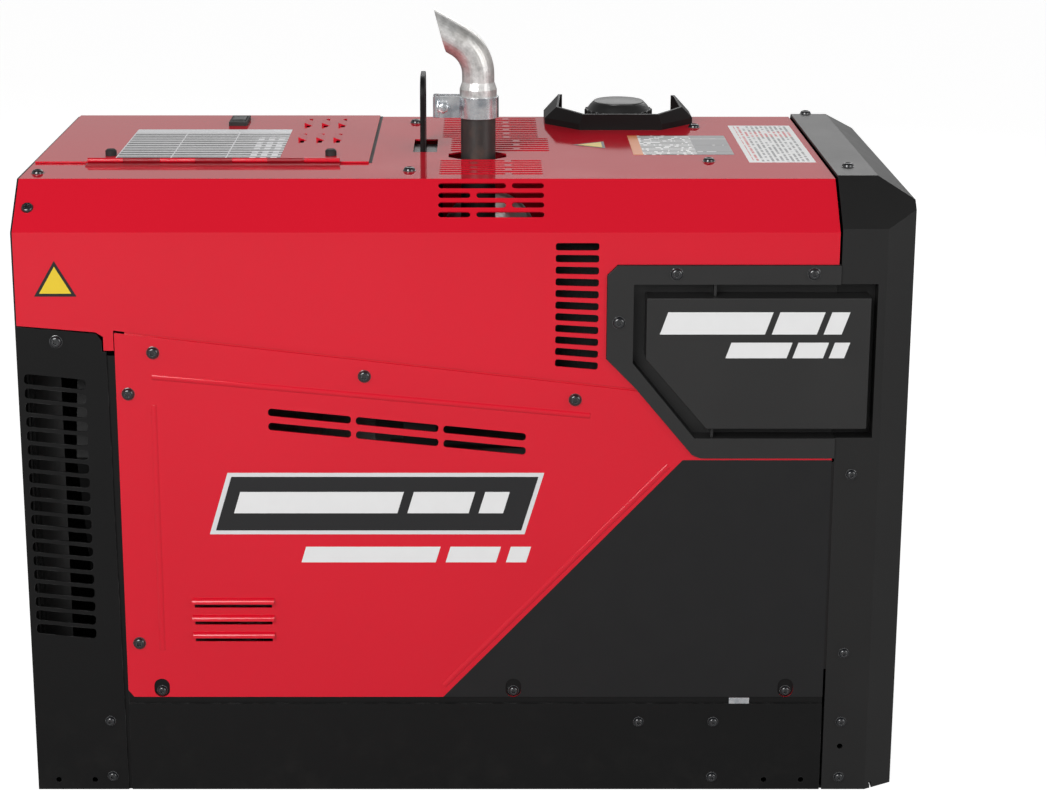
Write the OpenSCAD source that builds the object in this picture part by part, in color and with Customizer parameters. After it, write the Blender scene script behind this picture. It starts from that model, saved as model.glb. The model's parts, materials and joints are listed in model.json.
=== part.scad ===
// Engine driven welder: a sheet-metal enclosure around an air-cooled V-twin, a generator and its controls.
// X runs along the machine, from the rear air intake (-X) to the control panel (+X).
// Y runs across it and Z up. The origin is on the floor, under the middle of the machine.

/* [Enclosure] */
// Overall length, from the rear face to the stud cover
body_l = 1073; // [900:1:1300]
// Overall width over the side panels
body_w = 546; // [546:1:660]
// Height of the roof above the floor
body_h = 762; // [750:1:920]
// Thickness of the sheet-metal panels
sheet = 2; // [1.5:0.5:3]
// Roof corner chamfer, measured across
chamfer_w = 56; // [40:1:70]
// Roof corner chamfer, measured down
chamfer_h = 53; // [40:1:60]
// Drop of the roof seam below the roof at the rear face
seam_drop = 158; // [150:1:170]
// Fall of the roof seam toward the front
seam_angle = 6.6; // [5:0.1:8]
// Gap between neighbouring outer panels
panel_gap = 3; // [2:0.5:4]

/* [Base] */
// Height of the base skirt
skirt_h = 115; // [90:1:120]
// Thickness of the base skirt
skirt_t = 3; // [2.5:0.5:4]
// Thickness of the floor plate
floor_t = 4; // [3:0.5:6]
// Height of the cross rails above the floor plate
rail_h = 40; // [30:1:48]
// Length of each cross rail along the machine
rail_l = 50; // [40:1:56]
// Radius of the holes that bolt the base down
bolt_hole_r = 7; // [5:0.5:9]
// Distance of those holes from the rear and front faces
bolt_inset_x = 96.5; // [80:0.5:110]
// Distance of those holes from the sides
bolt_inset_y = 43; // [36:1:60]

/* [Side panels] */
// Length of the slotted rear corner panel along the side
corner_l = 107; // [100:1:110]
// Height of the bottom edge of the door above the floor
door_z = 124; // [118:1:130]
// Number of air slots in the rear corner panel
corner_slots = 19; // [12:1:19]
// Distance from one corner slot to the next
corner_pitch = 17.6; // [16:0.1:18]
// Length of a corner slot
corner_slot_l = 73; // [50:1:76]
// Height of a corner slot
corner_slot_h = 12.6; // [8:0.1:14]
// Length of an air slot in the door
door_slot_l = 99; // [60:1:110]
// Height of an air slot in the door
door_slot_h = 9.5; // [6:0.5:12]
// Length of a pressed louvre in the door
louvre_l = 100; // [60:1:120]

/* [Front bezel] */
// Length of the bezel along the side
bezel_l = 88.5; // [80:0.5:95]
// Distance that the stud cover stands in front of the bezel
cover_proud = 11.5; // [8:0.5:20]
// Height of the bezel above the roof
bezel_proud = 4; // [3:0.5:6]
// Wall of the bezel
bezel_t = 3.5; // [2.5:0.5:3.5]
// Depth of the control panel behind the bezel's nose
panel_recess = 25; // [20:1:30]
// Depth of the name frame's recess
name_depth = 22; // [16:1:24]
// Height of the nameplate above the side
name_proud = 8; // [4:1:10]

/* [Roof] */
// Length of the hatch lid
hatch_l = 412; // [220:1:430]
// Width of the hatch lid
hatch_w = 339; // [300:1:340]
// Distance of the hatch lid's hinge edge from the near side
hatch_inset = 149; // [140:1:155]
// Border of the roof under the edge of the hatch lid
hatch_border = 20; // [14:1:26]
// Radius of the hinge barrel
barrel_r = 3; // [3:0.5:5]
// Radius of the hinge pin
pin_r = 1.5; // [1:0.25:1.5]
// Length of a vent slot in the roof, the long one of each row
vent_long = 80; // [60:1:84]
// Length of a vent slot in the roof, the short one of each row
vent_short = 38; // [30:1:44]
// Width of a vent slot
vent_w = 8; // [6:0.5:9]
// Distance from one row of roof vents to the next
vent_pitch = 13.8; // [12:0.1:16]

/* [Lift frame] */
// Distance of the lift plate behind the front face
lift_back = 596.5; // [590:0.5:600]
// Thickness of the lift plate
lift_t = 6; // [5:0.5:8]
// Height of the lift plate above the roof
lift_rise = 93; // [80:1:120]
// Half the width of the lift plate's tongue
lift_half = 42; // [36:1:42]
// Radius of the lifting eye
eye_r = 22; // [16:1:26]

/* [Exhaust] */
// Outer radius of the exhaust pipe
pipe_r = 21.5; // [18:0.5:24]
// Wall of the exhaust pipe
pipe_t = 2; // [1.5:0.5:3]
// Distance of the pipe from the middle of the machine, toward the near side
pipe_y = 68; // [60:1:72]
// Height of the pipe above the roof
pipe_rise = 76; // [60:1:90]
// Radius of the elbow's bend
bend_r = 48; // [40:1:60]
// Angle of the elbow's bend
bend_angle = 60; // [50:1:70]
// Radius of the muffler
muffler_r = 62; // [50:1:66]
// Length of the muffler
muffler_l = 380; // [340:1:400]

/* [Fuel] */
// Distance of the fuel cap behind the front face
cap_back = 338.5; // [320:0.5:345]
// Distance of the fuel cap from the middle of the machine, toward the far side
cap_y = 170; // [150:1:180]
// Radius of the fuel cap
cap_r = 43; // [38:1:46]
// Inner radius of the filler neck
neck_r = 28; // [22:1:29]
// Height of the tank shelf above the floor
shelf_z = 497; // [490:1:500]
// Length of the fuel tank
tank_l = 260; // [200:1:265]
// Room between the tank and the roof
tank_room = 22; // [15:1:40]

/* [Engine and generator] */
// Height of the crankshaft above the floor
crank_z = 330; // [326:1:336]
// Radius of the crankshaft
shaft_r = 17.5; // [14:0.5:20]
// Length of the crankcase
case_l = 208; // [200:1:214]
// Depth of the blower housing
blower_l = 80; // [70:1:86]
// Radius of the generator's stator
stator_r = 150; // [130:1:150]
// Radius of the generator's rotor
rotor_r = 101; // [80:1:110]
// Radius of a finned cylinder barrel
fin_r = 70; // [60:1:74]
// Height of the vibration mounts
mount_h = 30; // [24:1:36]

/* [Controls] */
// Radius of the weld output studs
stud_r = 6.35; // [5:0.05:8]
// Distance between the weld output studs
stud_gap = 140; // [110:1:160]
// Height of the weld output studs above the floor
stud_z = 130; // [125:1:140]
// Radius of the output knob
knob_r = 24; // [18:1:28]

/* [Hidden] */
$fn = 48;

// Colours
red = [0.78, 0.07, 0.13];
black = [0.16, 0.16, 0.16];
plastic = [0.2, 0.19, 0.19];
zinc = [0.75, 0.77, 0.8];
steel = [0.62, 0.6, 0.57];
iron = [0.35, 0.35, 0.36];
rubber = [0.08, 0.08, 0.08];

// Clearances
eps = 0.01;          // overlap that fuses two shapes of one piece
run = 0.05;          // radial clearance of a shaft that turns in a hole
ease = 0.3;          // gap beside a piece that moves past another
seat_gap = 0.5;      // gap around a piece set into a cut-out

// Main places
rear_x = -body_l / 2;
front_x = body_l / 2;
side_y = body_w / 2;
nose_x = front_x - cover_proud;
bezel_x = nose_x - bezel_l;
face_x = nose_x - panel_recess;
panel_t = 3;
door_x0 = rear_x + 116.5;
door_x1 = bezel_x - panel_gap;
lift_x = front_x - lift_back;
pipe_x = lift_x + 70;
cap_x = front_x - cap_back;
hatch_x1 = lift_x - 64;
hatch_len = min(hatch_l, hatch_x1 - rear_x);
hatch_x0 = hatch_x1 - hatch_len;
hatch_y0 = -side_y + hatch_inset;
hatch_y1 = hatch_y0 + hatch_w;

// Places along the drive train
case_x = rear_x + 138.5;
bell_x = case_x + case_l;
stator_x = bell_x + 70;
bulkhead_x = front_x - 350.5;
bracket_t = 24;
bracket_x = bulkhead_x - 6 - bracket_t;
bank_x = [case_x + 72, case_x + 112];
bank_seat = 118;
barrel_l = 117;
head_size = [130, 130, 55];
head_r = bank_seat + barrel_l;
case_r = 105;
sump_w = 230;
sump_z = crank_z - 95;
rail_top = floor_t + rail_h;
engine_z = rail_top + mount_h;
rail_x = [case_x + 58, lift_x, bulkhead_x - 86];

// Muffler place
muffler_x = pipe_x + 14;
muffler_z = crank_z + 270;
manifold_y = 155;
manifold_z = crank_z + 225;
manifold_r = 15;

// Places of the side features
seam_slope = tan(seam_angle);
slot_tilt = 5.8;
strip_h = 9;
screw_r = 7.4;
screw_h = 3.4;
small_screw_r = 6.2;

function seam(x) = body_h - seam_drop - (x - rear_x) * seam_slope;
function unit(v) = v / norm(v);
// Moves every edge of a counter-clockwise outline outward by d
function grow(p, d) = [for (i = [0:len(p) - 1])
    let (a = p[(i + len(p) - 1) % len(p)], b = p[i], c = p[(i + 1) % len(p)],
         u = unit(b - a), v = unit(c - b), m = [u[1], -u[0]], n = [v[1], -v[0]])
    b + (m + n) * d / (1 + m * n)];
// Cross-section of the enclosure in Y and Z, raised by rise at the top
function section(rise, bottom) = [
    [-side_y, bottom], [side_y, bottom], [side_y, body_h + rise - chamfer_h],
    [side_y - chamfer_w, body_h + rise], [-side_y + chamfer_w, body_h + rise],
    [-side_y, body_h + rise - chamfer_h]];
// Outline of the name frame in X and Z
function name_outline() = [
    [bezel_x - 160.5, body_h - 329], [bezel_x - 0.5, body_h - 329], [bezel_x - 0.5, body_h - 92],
    [bezel_x - 262.5, body_h - 92], [bezel_x - 274.5, body_h - 104], [bezel_x - 274.5, body_h - 206],
    [bezel_x - 239.5, body_h - 242], [bezel_x - 170.5, body_h - 325]];
// Outline of the nameplate in X and Z
function plate_outline() = [
    [bezel_x - 155.5, body_h - 291], [bezel_x + 35.5, body_h - 291], [bezel_x + 35.5, body_h - 130],
    [bezel_x - 228.5, body_h - 130], [bezel_x - 228.5, body_h - 205]];

// A box from its lowest corner to its highest
module box(low, high) translate(low) cube(high - low);
// A bar of the outline's Y and Z, from x0 to x1
module along_x(x0, x1) translate([x0, 0, 0]) rotate([90, 0, 90]) linear_extrude(x1 - x0) children();
// An outline's X and Z, from y0 to y1
module along_y(y0, y1) translate([0, y1, 0]) rotate([90, 0, 0]) linear_extrude(y1 - y0) children();
// A rod along X or Y
module rod_x(x0, x1, r) translate([x0, 0, 0]) rotate([0, 90, 0]) cylinder(h = x1 - x0, r = r);
module rod_y(y0, y1, r) translate([0, y0, 0]) rotate([-90, 0, 0]) cylinder(h = y1 - y0, r = r);
// A slot with rounded corners, centred on the origin
module slot(l, w, r) {
    square([l, w - 2 * r], center = true);
    square([l - 2 * r, w], center = true);
    for (x = [-1, 1], y = [-1, 1]) translate([x * (l / 2 - r), y * (w / 2 - r)]) circle(r, $fn = 24);
}
// A hexagonal-socket button screw on a flange, its seat at the origin, pointing up
module button_screw(r) difference() {
    union() {
        cylinder(h = screw_h * 0.35, r = r);
        translate([0, 0, screw_h * 0.35 - eps]) cylinder(h = screw_h * 0.65 + eps, r1 = r * 0.86, r2 = r * 0.6);
    }
    translate([0, 0, screw_h - 1.8]) cylinder(h = 2, r = r * 0.34, $fn = 6);
}
module near_screw(x, z, r = screw_r) translate([x, -side_y, z]) rotate([90, 0, 0]) button_screw(r);
module roof_screw(x, y) translate([x, y, body_h]) button_screw(screw_r);
// Two walls of one outline at two heights, joined by sloping faces
module loft(low, high, z0, z1) {
    n = len(low);
    polyhedron(
        points = concat([for (p = low) [p[0], p[1], z0]], [for (p = high) [p[0], p[1], z1]]),
        faces = concat([[for (i = [0:n - 1]) i]], [[for (i = [n - 1:-1:0]) n + i]],
            [for (i = [0:n - 1]) [i, n + i, (i + 1) % n]],
            [for (i = [0:n - 1]) [(i + 1) % n, n + i, n + (i + 1) % n]]));
}
// Both sides of the machine
module both_sides() { children(); mirror([0, 1, 0]) children(); }

// ---------------------------------------------------------------- structure
upstand_z = door_z + 28;
module base_frame() color(black) difference() {
    inner_y = side_y - skirt_t;
    union() {
        box([rear_x + sheet, -side_y + sheet, 0], [door_x1, side_y - sheet, floor_t]);
        box([door_x1 - eps, -side_y + bezel_t, 0], [face_x - panel_t, side_y - bezel_t, floor_t]);
        both_sides() {
            box([door_x0, -side_y, 0], [door_x1, -inner_y, skirt_h]);
            box([door_x0, -side_y + sheet, skirt_h - 15], [door_x1, -side_y + sheet + skirt_t, upstand_z]);
            box([door_x0, -side_y, skirt_h - 3], [door_x1, -side_y + 14, skirt_h]);
        }
        for (x = rail_x) difference() {
            box([x - rail_l / 2, -inner_y, floor_t - eps], [x + rail_l / 2, inner_y, rail_top]);
            box([x - rail_l / 2 + 3, -inner_y + 40, floor_t], [x + rail_l / 2 - 3, inner_y - 40, rail_top - 3]);
        }
    }
    for (x = [rear_x + bolt_inset_x, front_x - bolt_inset_x], y = [-1, 1])
        translate([x, y * (side_y - bolt_inset_y), -1]) cylinder(h = floor_t + 2, r = bolt_hole_r);
    for (x = [door_x1 - 69, door_x1 - 23])
        translate([x, 0, 13]) rod_y(-side_y - 1, side_y + 1, 3.5);
    for (x = [-1, 1]) translate([x * 280, 0, -1]) cylinder(h = floor_t + 2, r = 12);
}

beam_z = body_h - 122;
leg_y = side_y - 23;
module lift_frame() color(black) {
    difference() {
        along_x(lift_x - lift_t / 2, lift_x + lift_t / 2) difference() {
            union() {
                polygon([[-leg_y, beam_z], [leg_y, beam_z], [leg_y, beam_z + 45], [lift_half, beam_z + 58],
                    [-lift_half, beam_z + 58], [-leg_y, beam_z + 45]]);
                translate([-lift_half, beam_z]) square([2 * lift_half, body_h + lift_rise - 26 - beam_z]);
                translate([-lift_half + 26, beam_z])
                    square([2 * lift_half - 52, body_h + lift_rise - beam_z]);
                for (s = [-1, 1]) translate([s * (lift_half - 26), body_h + lift_rise - 26]) circle(26);
                for (s = [-1, 1])
                    translate([s * (leg_y - 20) - 20, rail_top]) square([40, beam_z + 1 - rail_top]);
            }
            translate([0, body_h + lift_rise - eye_r - 18]) circle(eye_r);
        }
    }
    both_sides() {
        box([lift_x - 20, -leg_y - 4, rail_top], [lift_x + 20, -leg_y, beam_z + 45]);
        box([lift_x - 24, -leg_y - 4, rail_top], [lift_x + 24, -leg_y + 40, rail_top + 5]);
    }
}

rear_rows = 17;
post_top = seam(rear_x) - 45;
module rear_panel() color(black) {
    // posts behind the gap at the door's rear edge
    both_sides() {
        box([rear_x + corner_l - 9, -side_y + sheet, floor_t], [door_x0, -side_y + 2 * sheet, post_top]);
        box([door_x0, -side_y + sheet, upstand_z], [door_x0 + 10, -side_y + 2 * sheet, post_top]);
    }
    difference() {
        along_x(rear_x, rear_x + sheet) polygon(section(0, 0));
        for (i = [0:rear_rows - 1], y = [-1, 0, 1])
            translate([0, y * 130, crank_z - 130 + i * corner_pitch])
                along_x(rear_x - 1, rear_x + sheet + 1) slot(110, 9, 4);
    }
    both_sides() difference() {
        along_y(-side_y, -side_y + sheet) polygon([
            [rear_x, 0], [rear_x + corner_l + 5.5, 0], [rear_x + corner_l - 0.5, seam(rear_x) - 39.5],
            [rear_x + corner_l - 5.5, seam(rear_x) - 39.5], [rear_x + corner_l - 5.5, seam(rear_x) - 26],
            [rear_x + corner_l - 11.5, seam(rear_x) - 17.4],
            [rear_x, seam(rear_x) - strip_h]]);
        for (i = [0:corner_slots - 1])
            translate([rear_x + 44, 0, seam(rear_x) - 76.5 - i * corner_pitch]) rotate([0, slot_tilt, 0])
                along_y(-side_y - 1, -side_y + sheet + 1) slot(corner_slot_l, corner_slot_h, 4.5);
        for (x = [25.5, 70.5]) translate([rear_x + x, 0, 13]) rod_y(-side_y - 1, -side_y + sheet + 1, 3.5);
    }
}

vent_x = pipe_x - 47;
module vent_row(odd) {
    a = odd ? vent_short : vent_long;
    b = odd ? vent_long : vent_short;
    translate([a / 2, 0]) slot(a, vent_w, vent_w / 2 - 0.1);
    translate([a + 7 + b / 2, 0]) slot(b, vent_w, vent_w / 2 - 0.1);
}
function roof_slot_rows() = floor((body_w - 2 * chamfer_w - 20) / vent_pitch);
module exhaust_opening() translate([pipe_x - 1, -pipe_y])
    polygon([[-36, -12], [-22, -25], [22, -25], [36, -12], [36, 12], [22, 25], [-22, 25], [-36, 12]]);
module hatch_opening(g) translate([hatch_x0 + hatch_border - g, hatch_y0 + hatch_border - g])
    square([hatch_len - 2 * hatch_border + 2 * g, hatch_w - 2 * hatch_border + 2 * g]);
side_vents = 11;
side_vent_l = 51;
module roof_panel() color(red) {
    edge_x = door_x1;
    difference() {
        union() {
            difference() {
                along_x(rear_x + sheet, edge_x) polygon(section(0, body_h - seam_drop - 200));
                along_x(rear_x, edge_x + 1) polygon(grow(section(0, body_h - seam_drop - 201), -sheet));
                // everything under the seam, and the notch for the name frame
                along_y(-side_y - 1, side_y + 1) polygon([
                    [rear_x - 1, body_h - seam_drop - 220], [edge_x + 1, body_h - seam_drop - 220],
                    [edge_x + 1, seam(edge_x + 1)], [door_x0 - 1, seam(door_x0 - 1)],
                    [door_x0 - 1, seam(rear_x) - 38], [door_x0 - 13, seam(rear_x) - 38],
                    [door_x0 - 13, seam(rear_x) - 21], [door_x0 - 22, seam(rear_x) - 15.5],
                    [rear_x - 1, seam(rear_x) - strip_h + 1.5]]);
            }
            // turned-down edges of the hatch opening
            translate([0, 0, body_h - 14]) linear_extrude(14 - sheet + eps) difference() {
                hatch_opening(sheet);
                hatch_opening(0);
            }
        }
        along_y(-side_y - 1, side_y + 1) polygon(grow(name_outline(), seat_gap));
        translate([0, 0, body_h - 20]) linear_extrude(22) {
            hatch_opening(0);
            exhaust_opening();
            translate([lift_x - 12, -lift_half - 3]) square([30, 2 * lift_half + 6]);
            translate([cap_x, cap_y]) circle(neck_r + 8);
            for (i = [0:roof_slot_rows()])
                let (y = -(body_w / 2 - chamfer_w - 30) + i * vent_pitch)
                if ((y < -pipe_y - 32 || y > -pipe_y + 26) && y < side_y - chamfer_w - 4)
                    translate([vent_x + (abs(y) < lift_half + 8 ? 12 : 0), y]) vent_row(i % 2 == 1);
        }
        both_sides() {
            // slots in the sloping corner
            for (i = [0:3]) {
                u = (10 + i * vent_pitch) / norm([chamfer_w, chamfer_h]);
                translate([vent_x, -side_y + chamfer_w * (1 - u), body_h - chamfer_h * u])
                    rotate([atan2(chamfer_h, chamfer_w), 0, 0]) translate([0, 0, -6]) linear_extrude(12)
                        vent_row(i % 2 == 1);
            }
            // short vents in the skirt, turning gradually to the seam's angle
            for (i = [0:side_vents - 1])
                translate([vent_x + 163.5, 0, body_h - 70 - i * 14.3]) rotate([0, i * 0.5, 0])
                    along_y(-side_y - 1, -side_y + sheet + 1) slot(side_vent_l, 9, 3);
        }
    }
}

// Door slots: as many as fit between the door's rear edge and the name frame
slot_pitch = door_slot_l + 5.4;
slot_x0 = door_x0 + 179;
slot_count = min(3, floor((bezel_x - 192 - slot_x0) / slot_pitch));
module bead(a, b) {
    turn = atan2(b[1] - a[1], b[0] - a[0]);
    translate([a[0], -side_y + 3.5, a[1]]) rotate([0, 90 - turn, 0]) cylinder(h = norm(b - a), r = 5);
}
module louvre(x, z) difference() {
    translate([x, -side_y + 1, z]) rotate([0, 90, 0]) cylinder(h = louvre_l, r = 6);
    box([x - 1, -side_y - 9, z - 8], [x + louvre_l + 1, -side_y + 9, z - 1]);
    box([x - 1, -side_y + sheet, z - 8], [x + louvre_l + 1, -side_y + 9, z + 8]);
}
module side_panel() difference() {
    y0 = -side_y;
    edge = [seam(door_x0) - panel_gap, seam(door_x1) - panel_gap];
    union() {
        along_y(y0, y0 + sheet) polygon([
            [door_x0 + 7, door_z], [door_x1, door_z], [door_x1, edge[1]], [door_x0, edge[0]],
            [door_x0, door_z + 9]]);
        difference() {
            union() {
                bead([bezel_x - 198.5, body_h - 339], [bezel_x - 468.5, door_z + 15]);
                bead([door_x0 + 43, seam(door_x0) - 57], [bezel_x - 293, seam(bezel_x - 293) - 40]);
                bead([door_x0 + 44, door_z + 375], [door_x0 + 44, door_z + 62]);
            }
            box([door_x0, y0 + sheet, 0], [door_x1, y0 + 20, body_h]);
        }
        for (i = [0:2]) louvre(door_x0 + 82, door_z + 124 - i * 22);
        // lip that closes the seam behind the roof's skirt
        along_y(y0 + sheet, y0 + 2 * sheet) polygon([
            [door_x0 + 12, seam(door_x0 + 12) - 14], [door_x1 - 12, seam(door_x1 - 12) - 14],
            [door_x1 - 12, seam(door_x1 - 12) + 9], [door_x0 + 12, seam(door_x0 + 12) + 9]]);
    }
    for (i = [0:2]) box([door_x0 + 85, y0 - 4.4, door_z + 117 - i * 22],
        [door_x0 + 79 + louvre_l, y0 + sheet + 1, door_z + 123 - i * 22]);
    along_y(y0 - 1, y0 + 2 * sheet + 1) polygon(grow(name_outline(), seat_gap));
    for (i = [0:slot_count - 1], j = [0, 1])
        translate([slot_x0 + 50 + i * slot_pitch, 0, door_z + 361 - i * slot_pitch * 0.102 - j * 17.6])
            rotate([0, slot_tilt, 0]) along_y(y0 - 1, y0 + sheet + 1) slot(door_slot_l, door_slot_h, 4);
    for (x = keyhole_x) {
        translate([x, 0, door_z + 12]) along_y(y0 - 1, y0 + sheet + 1) slot(19, 24, 9.4);
    }
}
keyhole_x = [door_x0 + 41.5, (door_x0 + door_x1) / 2 + 46.5, door_x1 - 46];
module side_panel_near() color(red) side_panel();
module side_panel_far() color(red) mirror([0, 1, 0]) side_panel();

module bezel_solid(t) intersection() {
    along_x(bezel_x, nose_x) polygon(grow(section(bezel_proud, 0), -t));
    translate([0, 0, -1]) linear_extrude(body_h + 20) polygon([
        [bezel_x - 1, -side_y + t], [nose_x - 35, -side_y + t], [nose_x, -side_y + 20 + t],
        [nose_x, side_y - 20 - t], [nose_x - 35, side_y - t], [bezel_x - 1, side_y - t]]);
    along_y(-side_y, side_y) polygon([
        [bezel_x - 1, -1], [nose_x, -1], [nose_x, body_h + bezel_proud - 24 - t],
        [nose_x - 41, body_h + bezel_proud - t], [bezel_x - 1, body_h + bezel_proud - t]]);
}
pocket_x1 = bezel_x + 44;
pocket_z = [body_h - 304, body_h - 115];
module front_bezel() color(plastic) difference() {
    union() {
        difference() {
            bezel_solid(0);
            intersection() {
                bezel_solid(bezel_t);
                box([bezel_x - 1, -side_y, -1], [face_x, side_y, body_h + 20]);
            }
            box([bezel_x - 1, -side_y + bezel_t, -1], [face_x - 1, side_y - bezel_t, 8]);
            box([face_x - 1, -side_y + 30, 24], [nose_x + 1, side_y - 30, body_h - 40]);
        }
        // lip behind the gap at the door's front edge
        both_sides() box([door_x1 - 10, -side_y + sheet, skirt_h + 45], [bezel_x + 4, -side_y + bezel_t,
            body_h - 335]);
        both_sides() box([bezel_x, -side_y + 2, pocket_z[0] - 3],
            [pocket_x1 + 3, -side_y + name_depth + 3, pocket_z[1] + 3]);
    }
    both_sides() box([bezel_x - 1, -side_y - 1, pocket_z[0]], [pocket_x1, -side_y + name_depth, pocket_z[1]]);
    both_sides() for (z = [13, 58]) translate([bezel_x + 21, 0, z]) rod_y(-side_y - 1, -side_y + 4, 3.5);
}

key_size = [22, 14];
key_y = [-35, 35];
key_z = body_h - 202;
breaker_y = [-32, 32];
breaker_z = body_h - 312;
breaker_r = 6;
knob_hole_r = 3;
dials = [[-150, body_h - 122], [150, body_h - 102], [150, body_h - 182], [-150, body_h - 202]];
hinge_x = face_x + 7;
hinge_z = stud_z + 60;
cover_w = stud_gap + 120;
lug_t = 6;
module control_panel() color(black) difference() {
    union() {
        along_x(face_x - panel_t, face_x) polygon(grow(section(bezel_proud, floor_t - 14), -14));
        both_sides() box([face_x - eps, -cover_w / 2 - lug_t - ease, hinge_z - 7],
            [hinge_x + 7, -cover_w / 2 - ease, hinge_z + 7]);
        for (y = breaker_y) translate([0, y, breaker_z]) rod_x(face_x - eps, face_x + 4, breaker_r + 4);
    }
    for (y = key_y) box([face_x - panel_t - 1, y - key_size[0] / 2 - ease, key_z - key_size[1] / 2 - ease],
        [face_x + 1, y + key_size[0] / 2 + ease, key_z + key_size[1] / 2 + ease]);
    for (y = breaker_y) translate([0, y, breaker_z]) rod_x(face_x - panel_t - 1, face_x + 5, breaker_r + run);
    for (d = dials) translate([0, d[0], d[1]]) rod_x(face_x - panel_t - 1, face_x + 1, knob_hole_r + run);
    for (y = [-1, 1]) translate([0, y * stud_gap / 2, stud_z]) rod_x(face_x - panel_t - 1, face_x + 1, stud_r);
    translate([0, side_y - 80, 62]) rod_x(face_x - panel_t - 1, face_x + 1, 4);
    translate([hinge_x, 0, hinge_z]) rod_y(-cover_w / 2 - lug_t - 1, cover_w / 2 + lug_t + 1, pin_r + 1 + run);
}

module name_frame() difference() {
    along_y(-side_y - 3, -side_y + name_depth + 3) polygon(name_outline());
    along_y(-side_y - 4, -side_y + name_depth) polygon([
        [bezel_x - 168.5, pocket_z[0]], [bezel_x + 5, pocket_z[0]], [bezel_x + 5, pocket_z[1]],
        [bezel_x - 243.5, pocket_z[1]], [bezel_x - 243.5, body_h - 211]]);
    // hollow back
    along_y(-side_y + 2, -side_y + name_depth + 4) difference() {
        polygon(grow(name_outline(), -4));
        polygon([[bezel_x - 173.5, pocket_z[0] - 4], [bezel_x + 9, pocket_z[0] - 4],
            [bezel_x + 9, pocket_z[1] + 4], [bezel_x - 247.5, pocket_z[1] + 4], [bezel_x - 247.5, body_h - 215]]);
    }
}
module name_frame_near() color(plastic) name_frame();
module name_frame_far() color(plastic) mirror([0, 1, 0]) name_frame();
module nameplate() difference() {
    along_y(-side_y - name_proud, -side_y + name_depth) polygon(plate_outline());
    along_y(-side_y - name_proud + 4, -side_y + name_depth + 1) polygon(grow(plate_outline(), -4));
}
module nameplate_near() color(plastic) nameplate();
module nameplate_far() color(plastic) mirror([0, 1, 0]) nameplate();

// ---------------------------------------------------------------- hatch
lid_z = body_h + ease;
barrel_z = body_h + barrel_r + 1.5;
hinge_x0 = hatch_x0 + 68;
hinge_x1 = hatch_x1 - 35;
knuckles = 7;
knuckle_l = (hinge_x1 - hinge_x0) / knuckles;
module knuckle(i, side) translate([hinge_x0 + i * knuckle_l + ease, hatch_y0, barrel_z]) {
    rotate([0, 90, 0]) cylinder(h = knuckle_l - 2 * ease, r = barrel_r);
    // strap from the barrel down to its leaf
    translate([0, side > 0 ? 0 : -barrel_r - 1, -barrel_r - 1.5 + (side > 0 ? ease : 0)])
        cube([knuckle_l - 2 * ease, barrel_r + 1, sheet]);
}
module hatch_lid() color(red) difference() {
    union() {
        box([hatch_x0 + sheet + 1, hatch_y0 + barrel_r + 0.6, lid_z], [hatch_x1, hatch_y1, lid_z + sheet]);
        for (i = [0:2:knuckles - 1]) knuckle(i, 1);
    }
    translate([0, hatch_y0, barrel_z]) rod_x(hinge_x0 - 1, hinge_x1 + 1, pin_r + run);
    for (i = [0:2], j = [0, 1])
        translate([hatch_x1 - 92 + i * 23, hatch_y0 + (j == 0 ? 164 : 278), lid_z - 1])
            rotate([0, 0, 90]) linear_extrude(sheet + 2) slot(66, 5, 2);
}
module hatch_hinge() color(red) {
    difference() {
        union() {
            box([hinge_x0, hatch_y0 - 18, body_h], [hinge_x1, hatch_y0 - barrel_r - 0.6, body_h + sheet]);
            for (i = [1:2:knuckles - 1]) knuckle(i, -1);
        }
        translate([0, hatch_y0, barrel_z]) rod_x(hinge_x0 - 1, hinge_x1 + 1, pin_r);
    }
    translate([0, hatch_y0, barrel_z]) rod_x(hinge_x0, hinge_x1, pin_r);
}
bumper_r = 7;
bumper_h = 8;
latch_x = (hatch_x0 + hatch_x1) / 2 + 20;
latch_y = hatch_y1 - 57;
latch_size = [24, 54];
latch_pin = [-14.5, 4.5];
module hatch_trim() color(rubber) {
    for (x = [hatch_x0 + 90, hatch_x1 - 49]) translate([x, hatch_y0 + 44, lid_z + sheet]) {
        cylinder(h = bumper_h - 2, r = bumper_r);
        translate([0, 0, bumper_h - 2 - eps]) cylinder(h = 2, r1 = bumper_r, r2 = bumper_r - 2);
    }
    translate([latch_x, latch_y, lid_z + sheet]) difference() {
        translate([-latch_size[0] / 2, -latch_size[1] / 2, 0]) cube([latch_size[0], latch_size[1], 5]);
        translate([-9, -17, 2]) cube([18, 34, 4]);
    }
}
module hatch_latch() color(black) translate([latch_x, latch_y, lid_z + sheet]) {
    translate([-9 + ease, latch_pin[0], 2 + ease]) cube([18 - 2 * ease, 26, 4.4]);
    translate([-9 + ease, latch_pin[0], latch_pin[1]]) rotate([0, 90, 0]) cylinder(h = 18 - 2 * ease, r = 2.2);
}

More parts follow.
